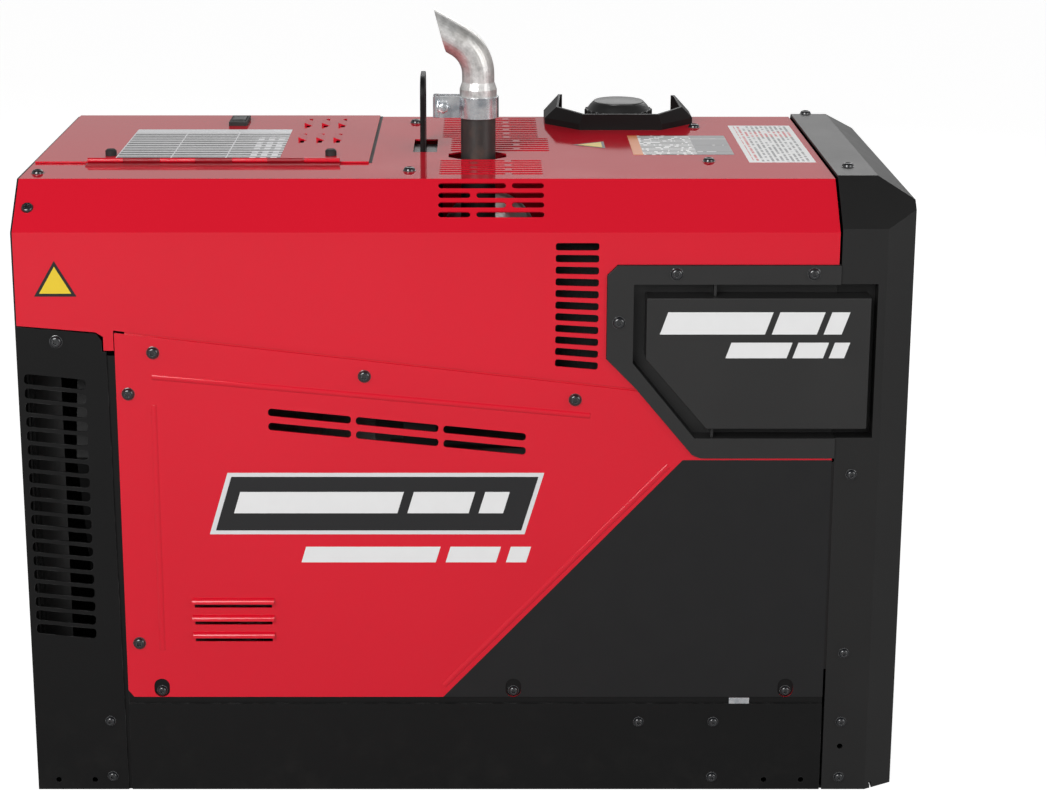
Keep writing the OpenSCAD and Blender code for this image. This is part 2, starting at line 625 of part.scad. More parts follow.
// ---------------------------------------------------------------- fuel
function guard_low() = [for (s = [[-99, -46 + 100], [-99, -8], [-54, -58], [54, -58], [99, -8], [99, 48]])
    [cap_x + s[0], cap_y + s[1]]];
function guard_high() = [for (s = [[-79, 54], [-79, -22], [-47, -60], [47, -60], [79, -22], [79, 48]])
    [cap_x + s[0], cap_y + s[1]]];
module fuel_guard() color(black) difference() {
    union() {
        translate([0, 0, body_h]) linear_extrude(8) polygon(guard_low());
        loft(guard_low(), guard_high(), body_h + 8 - eps, body_h + 30);
    }
    translate([0, 0, body_h - 1]) linear_extrude(9) polygon(grow(guard_low(), -3.5));
    loft(grow(guard_low(), -3.5), grow(guard_high(), -3.5), body_h + 7.9, body_h + 31);
    // open to the far side, and a top edge that rises toward it
    box([cap_x - 93, cap_y + 20, body_h - 1], [cap_x + 93, cap_y + 80, body_h + 8]);
    box([cap_x - 74, cap_y + 20, body_h - 1], [cap_x + 74, cap_y + 80, body_h + 40]);
    translate([cap_x - 120, cap_y - 62, body_h + 21]) rotate([4.5, 0, 0]) cube([240, 140, 20]);
}
tank_w = body_w - 146;
tank_z = shelf_z + panel_t;
tank_top = body_h - tank_room;
tank_x1 = bezel_x - 16.5;
tank_x0 = tank_x1 - tank_l;
module fuel_tank() color(black) difference() {
    along_y(-tank_w / 2, tank_w / 2) polygon([
        [tank_x0 + 10, tank_z], [tank_x1 - 10, tank_z], [tank_x1, tank_z + 10], [tank_x1, tank_top - 10],
        [tank_x1 - 10, tank_top], [tank_x0 + 10, tank_top], [tank_x0, tank_top - 10], [tank_x0, tank_z + 10]]);
    box([tank_x0 + 4, -tank_w / 2 + 4, tank_z + 4], [tank_x1 - 4, tank_w / 2 - 4, tank_top - 4]);
    translate([cap_x, cap_y, tank_top - 10]) cylinder(h = 20, r = neck_r);
}
module tank_shelf() color(iron) {
    box([tank_x0 - 10, -tank_w / 2 - 20, shelf_z], [face_x - panel_t, tank_w / 2 + 20, shelf_z + panel_t]);
    for (s = [-1, 1]) box([tank_x0 - 10, s * (tank_w / 2 + 18.5) - 1.5, shelf_z - 20],
        [bulkhead_x - 4, s * (tank_w / 2 + 18.5) + 1.5, shelf_z + eps]);
}
neck_top = body_h + 6;
module fuel_neck() color(iron) translate([cap_x, cap_y, 0]) difference() {
    union() {
        translate([0, 0, tank_top]) cylinder(h = neck_top - tank_top, r = neck_r + 4);
        translate([0, 0, tank_top]) cylinder(h = 5, r = neck_r + 12);
    }
    translate([0, 0, tank_top - 1]) cylinder(h = 60, r = neck_r);
}
gasket_t = 2;
module cap_gasket() color(rubber) translate([cap_x, cap_y, neck_top]) difference() {
    cylinder(h = gasket_t, r = neck_r + 5);
    translate([0, 0, -1]) cylinder(h = gasket_t + 2, r = neck_r - 1);
}
module fuel_cap() color(rubber) translate([cap_x, cap_y, neck_top + gasket_t]) {
    cylinder(h = 14, r = cap_r);
    translate([0, 0, 14 - eps]) cylinder(h = 6, r1 = cap_r - 1, r2 = cap_r - 7);
    translate([0, 0, 20 - 2 * eps]) cylinder(h = 5, r1 = cap_r - 7, r2 = cap_r - 20);
    for (i = [0:11]) rotate([0, 0, i * 30]) translate([cap_r - 2, 0, 0]) cylinder(h = 12, r = 4, $fn = 24);
}

// ---------------------------------------------------------------- exhaust
clamp_z = body_h + 49;
clamp_h = 27;
sleeve_r = pipe_r + 1.5;
tube_r = 20;
bend_z = body_h + 102;
pipe_top = body_h + pipe_rise;
module exhaust_pipe() color(iron) difference() {
    translate([pipe_x, -pipe_y, muffler_z]) cylinder(h = pipe_top - muffler_z, r = pipe_r);
    translate([pipe_x, -pipe_y, muffler_z - 1])
        cylinder(h = pipe_top - muffler_z + 2, r = pipe_r - pipe_t);
    translate([muffler_x, 0, muffler_z]) rod_y(-muffler_l, muffler_l, muffler_r);
}
// The elbow is one wall swept from its sleeve, round the bend and on to a slanting mouth
mouth = [-54.5, body_h + 184];
mouth_tilt = 15.3;
sides = 36;
bend_steps = 10;
function ring(x, z, a, r) = [for (i = [0:sides - 1])
    let (u = r * cos(i * 360 / sides), v = r * sin(i * 360 / sides)) [x + u * cos(a), v, z + u * sin(a)]];
function bend_ring(a, r) = ring(bend_r * (cos(a) - 1), bend_z + bend_r * sin(a), a, r);
// A ring slid along the bend's last direction until it lies in the mouth's plane
function mouth_ring(r) = let (a = bend_angle, n = [-cos(mouth_tilt), 0, -sin(mouth_tilt)], d = [-sin(a), 0, cos(a)])
    [for (p = bend_ring(a, r)) p + d * (([mouth[0], 0, mouth[1]] - p) * n) / (d * n)];
function elbow_rings(low, r) = concat(low, [for (k = [0:bend_steps]) bend_ring(k * bend_angle / bend_steps, r)],
    [mouth_ring(r)]);
// Faces of a wall of rings, its points starting at number s
function wall_faces(n, s) = [for (k = [0:n - 2], i = [0:sides - 1], h = [0, 1])
    let (j = (i + 1) % sides, a = s + k * sides, b = a + sides)
    h == 0 ? [a + i, b + i, a + j] : [a + j, b + i, b + j]];
function flat(v) = [for (w = v, p = w) p];
module exhaust_elbow() color(steel) translate([pipe_x, -pipe_y, 0]) {
    fit = (pipe_r + run) / cos(180 / sides);
    outer = elbow_rings([ring(0, clamp_z + 1, 0, sleeve_r), ring(0, bend_z - 18, 0, sleeve_r),
        ring(0, bend_z - 9, 0, tube_r)], tube_r);
    inner = elbow_rings([ring(0, clamp_z + 1, 0, fit), ring(0, pipe_top + 1, 0, fit),
        ring(0, pipe_top + 3, 0, tube_r - pipe_t)], tube_r - pipe_t);
    n = len(outer);
    m = n * sides;
    e = (n - 1) * sides;
    polyhedron(points = concat(flat(outer), flat(inner)), faces = concat(
        wall_faces(n, 0), [for (f = wall_faces(n, m)) [f[0], f[2], f[1]]],
        [for (i = [0:sides - 1], h = [0, 1]) let (j = (i + 1) % sides)
            h == 0 ? [i, j, m + i] : [j, m + j, m + i]],
        [for (i = [0:sides - 1], h = [0, 1]) let (j = (i + 1) % sides)
            h == 0 ? [e + i, m + e + i, e + j] : [e + j, m + e + i, m + e + j]]));
}
module exhaust_clamp() color(zinc) translate([pipe_x, -pipe_y, clamp_z]) {
    ear = sleeve_r + 2.5;
    difference() {
        union() {
            cylinder(h = clamp_h - 1, r = ear);
            for (s = [-1, 1]) translate([-56, s * 7.5 - 2, 0]) cube([44, 4, clamp_h]);
        }
        translate([0, 0, -1]) cylinder(h = clamp_h + 2, r = sleeve_r + run);
        translate([-60, -5.5, -1]) cube([60, 11, clamp_h + 2]);
        translate([-43, 0, clamp_h / 2]) rod_y(-20, 20, 4);
    }
    // bolt, nut and spacer
    translate([-43, 0, clamp_h / 2]) {
        rod_y(-22, 16, 4);
        translate([0, 9.5, 0]) rotate([-90, 0, 0]) cylinder(h = 6, r = 8, $fn = 6);
        translate([0, -18, 0]) rotate([-90, 0, 0]) cylinder(h = 8.5, r = 8, $fn = 6);
    }
}
module muffler() color(iron) difference() {
    union() {
        translate([muffler_x, 0, muffler_z]) {
            rod_y(-muffler_l / 2, muffler_l / 2, muffler_r);
            for (s = [-1, 1]) translate([0, s * (muffler_l / 2 - 3), 0]) rod_y(-4, 4, muffler_r + 3);
        }
        for (s = [-1, 1]) box([muffler_x - 18, s * 75 - 12, crank_z], [muffler_x + 18, s * 75 + 12, muffler_z]);
    }
    translate([0, 0, crank_z]) rod_x(muffler_x - 30, muffler_x + 30, stator_r + ease);
    translate([muffler_x, 0, muffler_z]) rod_y(-muffler_l / 2 + 4, muffler_l / 2 - 4, muffler_r - 3);
}
module exhaust_manifold() color(iron) difference() {
    union() for (i = [0, 1]) let (y = (i == 0 ? -1 : 1) * manifold_y)
        translate([0, y, manifold_z]) rod_x(bank_x[i] + head_size[0] / 2, muffler_x, manifold_r);
    translate([muffler_x, 0, muffler_z]) rod_y(-muffler_l, muffler_l, muffler_r + 0.02);
}

// ---------------------------------------------------------------- engine
// The V opens upward: bank 0 leans to the near side and bank 1 to the far side
module on_bank(i) translate([bank_x[i], 0, crank_z]) rotate([i == 0 ? 45 : -45, 0, 0]) children();
module head(i) on_bank(i) translate([-head_size[0] / 2, -head_size[1] / 2, head_r]) cube(head_size);
boss_x = bell_x - 14;
boss_y = sump_w / 2 + 7;
tube_top = crank_z + 270;
module crankcase() color(steel) difference() {
    union() {
        translate([0, 0, crank_z]) rod_x(case_x, bell_x, case_r);
        for (i = [0, 1]) on_bank(i) translate([-60, -60, 40]) cube([120, 120, bank_seat - 40]);
        box([case_x, -sump_w / 2, engine_z + 20 - eps], [bell_x, sump_w / 2, sump_z + 20]);
        box([case_x, -sump_w / 2 - 20, engine_z], [bell_x, sump_w / 2 + 20, engine_z + 20]);
        translate([bell_x - eps, 0, crank_z]) rotate([0, 90, 0])
            cylinder(h = stator_x - bell_x + eps, r1 = case_r + 5, r2 = stator_r);
        box([boss_x - 12, sump_w / 2 - 1, sump_z - 50], [boss_x + 10, boss_y + 10, sump_z]);
        translate([boss_x, boss_y, sump_z - eps]) cylinder(h = tube_top - sump_z, r = 9);
    }
    translate([0, 0, crank_z]) rod_x(case_x - 1, stator_x + 1, shaft_r + run);
    translate([0, 0, crank_z]) rod_x(stator_x - 40, stator_x + 1, rotor_r + 6);
    translate([boss_x, boss_y, sump_z - 40]) cylinder(h = 600, r = 6);
}
module cylinders() color(steel) for (i = [0, 1]) {
    on_bank(i) {
        translate([0, 0, bank_seat]) cylinder(h = barrel_l + eps, r = fin_r - 22);
        for (k = [0:10]) translate([0, 0, bank_seat + 5 + k * 10]) cylinder(h = 3, r = fin_r);
    }
    head(i);
}
module valve_covers() color(black) for (i = [0, 1]) on_bank(i)
    translate([0, 0, head_r + head_size[2]]) {
        translate([-57, -47, 0]) cube([114, 94, 20]);
        translate([-50, -40, 20 - eps]) cube([100, 80, 8]);
    }
throttle_x = (bank_x[0] + bank_x[1]) / 2;
runner_z = crank_z + 231;
cleaner_z = crank_z + 318;
cleaner_r = 52;
module air_cleaner_body(r) translate([0, 0, cleaner_z]) rod_x(case_x - 42, case_x + 168, r);
module intake_manifold() color(steel) difference() {
    union() {
        translate([throttle_x, 0, runner_z]) rod_y(-160, 160, 15);
        box([throttle_x - 35, -32, runner_z - 21], [throttle_x + 35, 32, runner_z + 29]);
        translate([throttle_x, 0, runner_z]) cylinder(h = cleaner_z - runner_z, r = 24);
    }
    for (i = [0, 1]) head(i);
    air_cleaner_body(cleaner_r);
}
module air_cleaner() color(black) {
    air_cleaner_body(cleaner_r);
    translate([0, 0, cleaner_z]) rod_x(case_x - 52, case_x - 41, cleaner_r - 10);
    difference() {
        box([case_x - 40, -35, blower_top], [case_x - 10, 35, cleaner_z]);
        translate([0, 0, cleaner_z]) rod_x(case_x - 60, case_x + 10, cleaner_r - 1);
    }
}
blower_top = crank_z + 215;
fan_room = 125;
module blower_housing() color(black) difference() {
    along_x(case_x - blower_l, case_x) polygon([
        [-150, crank_z - 130], [150, crank_z - 130], [232, crank_z + 90], [195, blower_top],
        [-195, blower_top], [-232, crank_z + 90]]);
    translate([0, 0, crank_z]) {
        rod_x(case_x - blower_l + 4, case_x - 4, fan_room);
        rod_x(case_x - blower_l - 1, case_x, 100);
        rod_x(case_x - 5, case_x + 1, shaft_r + 8);
    }
}
module flywheel_fan() color(steel) translate([0, 0, crank_z]) difference() {
    union() {
        rod_x(case_x - 24, case_x - 12, 112);
        rod_x(case_x - 60, case_x - 12, 36);
        for (i = [0:13]) rotate([i * 360 / 14, 0, 0]) translate([case_x - 60, -2, 30]) cube([40, 4, 80]);
    }
    rod_x(case_x - 70, case_x, shaft_r + 0.02);
}
shaft_x1 = bracket_x + bracket_t - 3;
module crankshaft() color(steel) translate([0, 0, crank_z]) {
    rod_x(case_x - 66, shaft_x1, shaft_r);
    translate([case_x - 74, 0, 0]) rotate([0, 90, 0]) cylinder(h = 13.9, r = 24, $fn = 6);
}
module oil_filter() color(black) translate([bell_x - 40, 0, engine_z + 91]) difference() {
    rod_y(-sump_w / 2 - 88, -sump_w / 2, 38);
    rod_y(-sump_w / 2 - 89, -sump_w / 2 - 84, 30);
}
module dipstick() color([0.85, 0.7, 0.1]) translate([boss_x, boss_y, 0]) {
    translate([0, 0, sump_z - 38]) cylinder(h = tube_top - sump_z + 39, r = 2.5);
    translate([0, 0, tube_top]) cylinder(h = 14, r = 12);
    translate([-4, -16, tube_top + 12]) cube([8, 32, 14]);
}
module starter_motor() color(black) translate([0, -150, crank_z - 62]) {
    rod_x(case_x, case_x + 120, 32);
    rod_x(case_x + 120 - eps, case_x + 132, 24);
    translate([0, -10, -44]) rod_x(case_x + 20, case_x + 90, 14);
}

// ---------------------------------------------------------------- generator
module stator() color(iron) difference() {
    union() {
        translate([0, 0, crank_z]) rod_x(stator_x, bracket_x, stator_r);
        for (s = [-1, 1]) box([rail_x[2] - 35, s * 115 - 28, engine_z], [rail_x[2] + 35, s * 115 + 28, crank_z]);
    }
    translate([0, 0, crank_z]) rod_x(stator_x - 1, bracket_x + 1, rotor_r + 2);
    translate([0, 0, crank_z]) for (a = [0:30:330]) rotate([a, 0, 0])
        translate([0, 0, stator_r + 3]) rod_x(stator_x + 20, bracket_x - 20, 7);
}
module rotor() color(iron) translate([0, 0, crank_z]) difference() {
    union() {
        rod_x(stator_x + 25, bracket_x - 25, rotor_r);
        rod_x(stator_x - 34, bracket_x - 8, shaft_r + 14);
        for (i = [0:10]) rotate([i * 360 / 11, 0, 0]) translate([stator_x - 30, -2, 24]) cube([24, 4, 74]);
    }
    rod_x(stator_x - 40, bracket_x + 5, shaft_r + 0.02);
}
module end_bracket() color(steel) translate([0, 0, crank_z]) difference() {
    rod_x(bracket_x, bracket_x + bracket_t, stator_r);
    rod_x(bracket_x - 1, bracket_x + bracket_t + 1, shaft_r + run);
    for (a = [0:60:300]) rotate([a, 0, 0]) translate([0, 0, 88]) rod_x(bracket_x - 1, bracket_x + bracket_t + 1, 26);
}
module vibration_mounts() color(rubber) for (x = [rail_x[0], rail_x[2]], y = [-115, 115])
    translate([x, y, rail_top]) cylinder(h = mount_h, r = 25);
module bulkhead() color(iron) difference() {
    box([bulkhead_x, -side_y + 14, floor_t], [bulkhead_x + sheet, side_y - 14, shelf_z]);
    for (y = [-1, 1]) translate([0, y * 120, crank_z]) rod_x(bulkhead_x - 1, bulkhead_x + sheet + 1, 60);
}
module inverter_module() color(steel) {
    x0 = bulkhead_x + sheet;
    box([x0, -side_y + 48, 150], [x0 + 18, -40, 410]);
    for (i = [0:12]) box([x0 + 18 - eps, -side_y + 50 + i * 14, 160], [x0 + 90, -side_y + 54 + i * 14, 400]);
}
battery_x = bezel_x - 206.5;
module battery() color(black) translate([battery_x, 30, floor_t]) {
    difference() {
        cube([196, 175, 175]);
        translate([-1, 70, 165]) cube([198, 30, 11]);
    }
    translate([-8, 71, 165]) cube([212, 28, 4]);
    for (x = [-8, 200]) translate([x, 71, 0]) cube([4, 28, 165 + eps]);
    for (x = [30, 166]) translate([x, 30, 175 - eps]) cylinder(h = 14, r = 8);
}

// ---------------------------------------------------------------- controls
module display() color(black) difference() {
    box([face_x, -75, body_h - 172], [face_x + 8, 75, body_h - 72]);
    box([face_x + 6, -62, body_h - 158], [face_x + 9, 62, body_h - 86]);
}
// A knob on its spindle at dial i, with a pointer groove
module knob(i, r, h) translate([face_x, dials[i][0], dials[i][1]]) rotate([0, 90, 0]) difference() {
    union() {
        translate([0, 0, -panel_t - 6]) cylinder(h = panel_t + 10, r = knob_hole_r);
        translate([0, 0, ease]) cylinder(h = 4, r = r);
        translate([0, 0, 4]) cylinder(h = h - 4, r1 = r - 3, r2 = r - 5);
        for (a = [0:30:330]) rotate([0, 0, a]) translate([r - 4.5, 0, 4 - eps])
            cylinder(h = h - 8, r = 2, $fn = 16);
    }
    translate([-r, -1, h - 1.5]) cube([r - 2, 2, 4]);
}
module output_knob() color(black) knob(0, knob_r, 30);
module mode_knob() color(black) knob(1, 20, 26);
module arc_knob() color(black) knob(2, 16, 24);
module engine_switch() color(black) translate([face_x, dials[3][0], dials[3][1]]) rotate([0, 90, 0]) {
    translate([0, 0, -panel_t - 6]) cylinder(h = panel_t + 10, r = knob_hole_r);
    translate([0, 0, ease]) cylinder(h = 8, r = 18);
    translate([-17, -4, 8]) cube([34, 8, 12]);
}
module stud(y, z, r, l) translate([face_x, y, z]) rotate([0, 90, 0]) {
    cylinder(h = l, r = r);
    translate([0, 0, -panel_t - 12]) cylinder(h = panel_t + 12 + eps, r = r - 0.02);
    difference() {
        cylinder(h = 5, r = r * 1.9, $fn = 6);
        translate([0, 0, -1]) cylinder(h = 7, r = r - 1);
    }
}
module output_studs() color(zinc) {
    for (s = [-1, 1]) stud(s * stud_gap / 2, stud_z, stud_r, 26);
    stud(side_y - 80, 62, 3.98, 20);
}
cover_h = 104;
module stud_cover() color(plastic) difference() {
    union() {
        box([hinge_x - 3, -cover_w / 2, hinge_z - 3], [front_x, cover_w / 2, hinge_z]);
        box([front_x - 3, -cover_w / 2, hinge_z - cover_h], [front_x, cover_w / 2, hinge_z]);
        both_sides() box([hinge_x - 3, -cover_w / 2, hinge_z - cover_h], [front_x, -cover_w / 2 + 3, hinge_z]);
        translate([hinge_x, 0, hinge_z]) rod_y(-cover_w / 2 - lug_t - ease, cover_w / 2 + lug_t + ease, pin_r + 1);
    }
    for (y = [-3:3]) box([front_x - 4, y * 30 - 2, hinge_z - cover_h + 20],
        [front_x + 1, y * 30 + 2, hinge_z - 20]);
}
module receptacles() color(black) {
    for (y = [-150, 150]) difference() {
        box([face_x, y - 20, body_h - 412], [face_x + 9, y + 20, body_h - 302]);
        for (z = [-383, -331], s = [-1, 1]) translate([face_x + 5, y + s * 6.4 - 1.2, body_h + z - 4])
            cube([5, 2.4, 8]);
        for (z = [-397, -345]) translate([0, y, body_h + z]) rod_x(face_x + 5, face_x + 10, 2.4);
    }
    translate([0, 0, body_h - 392]) difference() {
        rod_x(face_x, face_x + 12, 34);
        for (s = [-1, 1]) translate([face_x + 6, s * 13 - 1.5, -9]) cube([7, 3, 18]);
        translate([face_x + 6, -1.5, -24]) cube([7, 3, 14]);
    }
    translate([0, 0, body_h - 492]) { rod_x(face_x, face_x + 6, 26); rod_x(face_x + 6 - eps, face_x + 16, 20); }
}
module key(i) color(rubber) box(
    [face_x - panel_t, key_y[i] - key_size[0] / 2, key_z - key_size[1] / 2],
    [face_x + 4, key_y[i] + key_size[0] / 2, key_z + key_size[1] / 2]);
module key_left() key(0);
module key_right() key(1);
module breaker(i) color(rubber) translate([0, breaker_y[i], breaker_z])
    rod_x(face_x - panel_t, face_x + 9, breaker_r);
module breaker_left() breaker(0);
module breaker_right() breaker(1);

// ---------------------------------------------------------------- fasteners
tab_x = door_x1 - 115;
module door_tabs() color(zinc) both_sides()
    box([tab_x, -side_y - 0.5, skirt_h], [tab_x + 25, -side_y + sheet, door_z - 1]);
module roof_screws() color(black) {
    for (p = [[rear_x + 18.5, -side_y + 89], [lift_x - 14, side_y - 104], [lift_x - 13, -side_y + 105],
              [bezel_x - 142.5, -side_y + 166], [bezel_x - 139.5, side_y - 139]]) roof_screw(p[0], p[1]);
    for (y = [-side_y + 111, side_y - 57])
        translate([bezel_x + 20, y, body_h + bezel_proud]) button_screw(screw_r);
    both_sides() translate([rear_x + 16.5, -side_y + chamfer_w * 0.455, body_h - chamfer_h * 0.545])
        rotate([atan2(chamfer_h, chamfer_w), 0, 0]) button_screw(screw_r);
}
module side_screws() color(black) both_sides() {
    for (x = [door_x0 + 45, door_x0 + 295, door_x1 - 308])
        near_screw(x, seam(x) - 22);
    near_screw(door_x0 + 14, seam(door_x0) - 78);
    near_screw(door_x0 + 16, door_z + 71);
    near_screw(rear_x + 47.5, seam(rear_x) - 27);
    for (z = [18, 92]) near_screw(rear_x + 93, z, small_screw_r);
    for (x = [door_x1 - 226, door_x1 - 134]) near_screw(x, 91, small_screw_r);
    near_screw(door_x1 - 134, 17, small_screw_r);
    for (z = [17, 91, 182, 412]) near_screw(bezel_x + 21, z, small_screw_r);
    translate([0, -3, 0]) {
        for (x = [bezel_x - 193.5, bezel_x - 32.5]) near_screw(x, body_h - 102);
        near_screw(bezel_x - 260.5, body_h - 161);
    }
    for (x = keyhole_x) translate([x, -side_y + sheet, door_z + 8]) rotate([90, 0, 0]) button_screw(small_screw_r);
}

base_frame();
lift_frame();
rear_panel();
roof_panel();
side_panel_near();
side_panel_far();
front_bezel();
control_panel();
name_frame_near();
name_frame_far();
nameplate_near();
nameplate_far();
hatch_lid();
hatch_hinge();
hatch_trim();
hatch_latch();
fuel_guard();
door_tabs();
roof_screws();
side_screws();
fuel_tank();
tank_shelf();
fuel_neck();
cap_gasket();
fuel_cap();
muffler();
exhaust_manifold();
exhaust_pipe();
exhaust_clamp();
exhaust_elbow();
crankcase();
cylinders();
valve_covers();
intake_manifold();
air_cleaner();
blower_housing();
flywheel_fan();
crankshaft();
oil_filter();
dipstick();
starter_motor();
stator();
rotor();
end_bracket();
vibration_mounts();
bulkhead();
inverter_module();
battery();
display();
output_knob();
arc_knob();
mode_knob();
engine_switch();
output_studs();
stud_cover();
receptacles();
key_left();
key_right();
breaker_left();
breaker_right();
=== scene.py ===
# %% [markdown]
# # Engine driven welder
# The machine comes in as a fixed frame of named nodes, in metres. Nothing here moves or resizes a node: this script
# gives every surface its finish, and it makes the small shapes that a drawing of sheet metal leaves out.

# %% Load the frame
import json
from math import cos, pi, radians, sin

import bpy
from mathutils import Matrix, Vector

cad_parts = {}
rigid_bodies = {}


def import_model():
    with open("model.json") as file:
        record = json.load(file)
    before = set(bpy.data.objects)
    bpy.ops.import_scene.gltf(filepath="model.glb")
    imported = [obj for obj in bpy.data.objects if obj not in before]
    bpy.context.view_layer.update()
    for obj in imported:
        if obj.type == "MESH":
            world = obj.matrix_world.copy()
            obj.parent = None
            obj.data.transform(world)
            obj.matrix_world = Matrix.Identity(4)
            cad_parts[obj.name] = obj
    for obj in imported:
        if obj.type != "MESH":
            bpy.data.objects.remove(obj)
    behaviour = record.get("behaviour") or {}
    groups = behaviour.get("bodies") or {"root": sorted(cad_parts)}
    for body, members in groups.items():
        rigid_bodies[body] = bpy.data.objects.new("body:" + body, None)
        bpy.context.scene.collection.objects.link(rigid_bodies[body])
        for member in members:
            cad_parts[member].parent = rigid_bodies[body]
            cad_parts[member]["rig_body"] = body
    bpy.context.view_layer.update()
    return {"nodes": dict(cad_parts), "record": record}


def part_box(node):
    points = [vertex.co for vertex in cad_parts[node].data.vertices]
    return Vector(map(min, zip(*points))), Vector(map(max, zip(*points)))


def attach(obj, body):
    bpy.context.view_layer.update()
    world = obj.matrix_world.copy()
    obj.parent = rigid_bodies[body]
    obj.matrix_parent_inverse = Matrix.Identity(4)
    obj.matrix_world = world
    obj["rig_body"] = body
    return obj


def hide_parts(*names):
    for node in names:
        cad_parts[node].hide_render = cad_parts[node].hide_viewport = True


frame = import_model()
nodes = frame["nodes"]

# %% [markdown]
# The camera stands about 2.6 m in front of the near side, at a person's eye height, and looks slightly down. A long
# lens keeps the box nearly square. The lens is shifted rather than the camera turned, so upright edges stay upright.

# %% Camera
MM = 0.001
camera_data = bpy.data.cameras.new("camera")
camera = bpy.data.objects.new("camera", camera_data)
bpy.context.scene.collection.objects.link(camera)
EYE, LOOK_DOWN, LENS, SHIFT = (0.0146, -2.9096, 1.2968), 14.46, 79.51, (0.0397, -0.0869)
camera.location = EYE
camera.rotation_euler = (radians(90 - LOOK_DOWN), 0, 0)
camera_data.lens = LENS
camera_data.shift_x, camera_data.shift_y = SHIFT
bpy.context.scene.camera = camera
bpy.context.scene.view_settings.view_transform = "Standard"

# %% [markdown]
# Glossy paint shows whatever stands around it. A white room gives the roof its pale sheen, and soft panels above and
# beside the machine give the long, quiet highlights of a product studio.

# %% Studio
def stage_plane(name, size, place, paint):
    bpy.ops.object.select_all(action="DESELECT")
    bpy.ops.mesh.primitive_plane_add(size=size, location=place)
    plane = bpy.context.object
    plane.name = name
    plane.data.materials.append(paint)


def soft_light(name, place, aim, size, power):
    data = bpy.data.lights.new(name, "AREA")
    data.shape = "RECTANGLE"
    data.size, data.size_y = size
    data.energy = power
    light = bpy.data.objects.new(name, data)
    bpy.context.scene.collection.objects.link(light)
    light.location = place
    light.rotation_euler = (Vector(aim) - Vector(place)).to_track_quat("-Z", "Y").to_euler()


def room_light(around, ceiling, ceiling_from, ceiling_full, backdrop):
    """A room that is bright all round and dim overhead. The backdrop itself is lit to plain white."""
    world = bpy.data.worlds.new("white_room")
    world.use_nodes = True
    tree = world.node_tree
    where = tree.nodes.new("ShaderNodeTexCoord")
    split = tree.nodes.new("ShaderNodeSeparateXYZ")
    ramp = tree.nodes.new("ShaderNodeMapRange")
    seen = tree.nodes.new("ShaderNodeLightPath")
    level = tree.nodes.new("ShaderNodeMix")
    for socket, value in (("From Min", ceiling_from), ("From Max", ceiling_full), ("To Min", around),
                          ("To Max", ceiling)):
        ramp.inputs[socket].default_value = value
    level.inputs[3].default_value = backdrop
    tree.links.new(where.outputs["Generated"], split.inputs["Vector"])
    tree.links.new(split.outputs["Z"], ramp.inputs["Value"])
    tree.links.new(ramp.outputs["Result"], level.inputs[2])
    tree.links.new(seen.outputs["Is Camera Ray"], level.inputs[0])
    tree.links.new(level.outputs[0], tree.nodes["Background"].inputs["Strength"])
    tree.nodes["Background"].inputs["Color"].default_value = (1, 1, 1, 1)
    return world


bpy.context.scene.world = room_light(around=0.50, ceiling=0.14, ceiling_from=0.3, ceiling_full=0.7, backdrop=1.1)

floor_paint = bpy.data.materials.new("floor_paint")
floor_paint.use_nodes = True
floor_tree = floor_paint.node_tree
floor_shader = floor_tree.nodes["Principled BSDF"]
floor_shader.inputs["Base Color"].default_value = (0.35, 0.35, 0.35, 1)
floor_shader.inputs["Roughness"].default_value = 0.7
floor_shader.inputs["Specular IOR Level"].default_value = 0.1
floor_shader.inputs["Emission Color"].default_value = (1, 1, 1, 1)
floor_seen = floor_tree.nodes.new("ShaderNodeLightPath")
floor_glow = floor_tree.nodes.new("ShaderNodeMapRange")
FLOOR_GLOW, FLOOR_SEEN = 0.12, 0.88
floor_glow.inputs["To Min"].default_value = FLOOR_GLOW
floor_glow.inputs["To Max"].default_value = FLOOR_SEEN
floor_tree.links.new(floor_seen.outputs["Is Camera Ray"], floor_glow.inputs["Value"])
floor_tree.links.new(floor_glow.outputs["Result"], floor_shader.inputs["Emission Strength"])
stage_plane("studio_floor", 60, (0, 20, -0.0005), floor_paint)
soft_light("key_light", (-1.6, -3.4, 2.6), aim=(0, 0, 0.4), size=(2.2, 2.2), power=122)
soft_light("fill_light", (2.8, -2.2, 1.6), aim=(0, 0, 0.4), size=(2, 2), power=32)
soft_light("back_light", (0.8, 3.0, 2.6), aim=(0, 0, 0.6), size=(3, 2), power=40)

# %% [markdown]
# Shader maths reads best as plain expressions. A small class wraps one socket of a node, and its operators add the
# Math nodes. Colours are mixed with a Mix node, because a Math node would turn them grey.

# %% Shader expressions
class Value:
    """One output socket in a material, with arithmetic."""

    def __init__(self, tree, socket):
        self.tree, self.socket = tree, socket

    def math(self, operation, *others):
        return Shader(self.tree).node("ShaderNodeMath", {"operation": operation}, dict(enumerate((self, *others))))

    def __add__(self, other):
        return self.math("ADD", other)

    def __mul__(self, other):
        return self.math("MULTIPLY", other)

    def __sub__(self, other):
        return self.math("SUBTRACT", other)

    def __rsub__(self, other):
        return self.math("MULTIPLY_ADD", -1.0, other)

    def __gt__(self, other):
        return self.math("GREATER_THAN", other)

    def __lt__(self, other):
        return self.math("LESS_THAN", other)

    __radd__, __rmul__ = __add__, __mul__

    def abs(self):
        return self.math("ABSOLUTE")

    def between(self, low, high):
        """0 below low, 1 above high, and a straight ramp in between."""
        node = Shader(self.tree).raw("ShaderNodeMapRange", {"clamp": True},
                                     {"Value": self, "From Min": low, "From Max": high})
        return Value(self.tree, node.outputs["Result"])


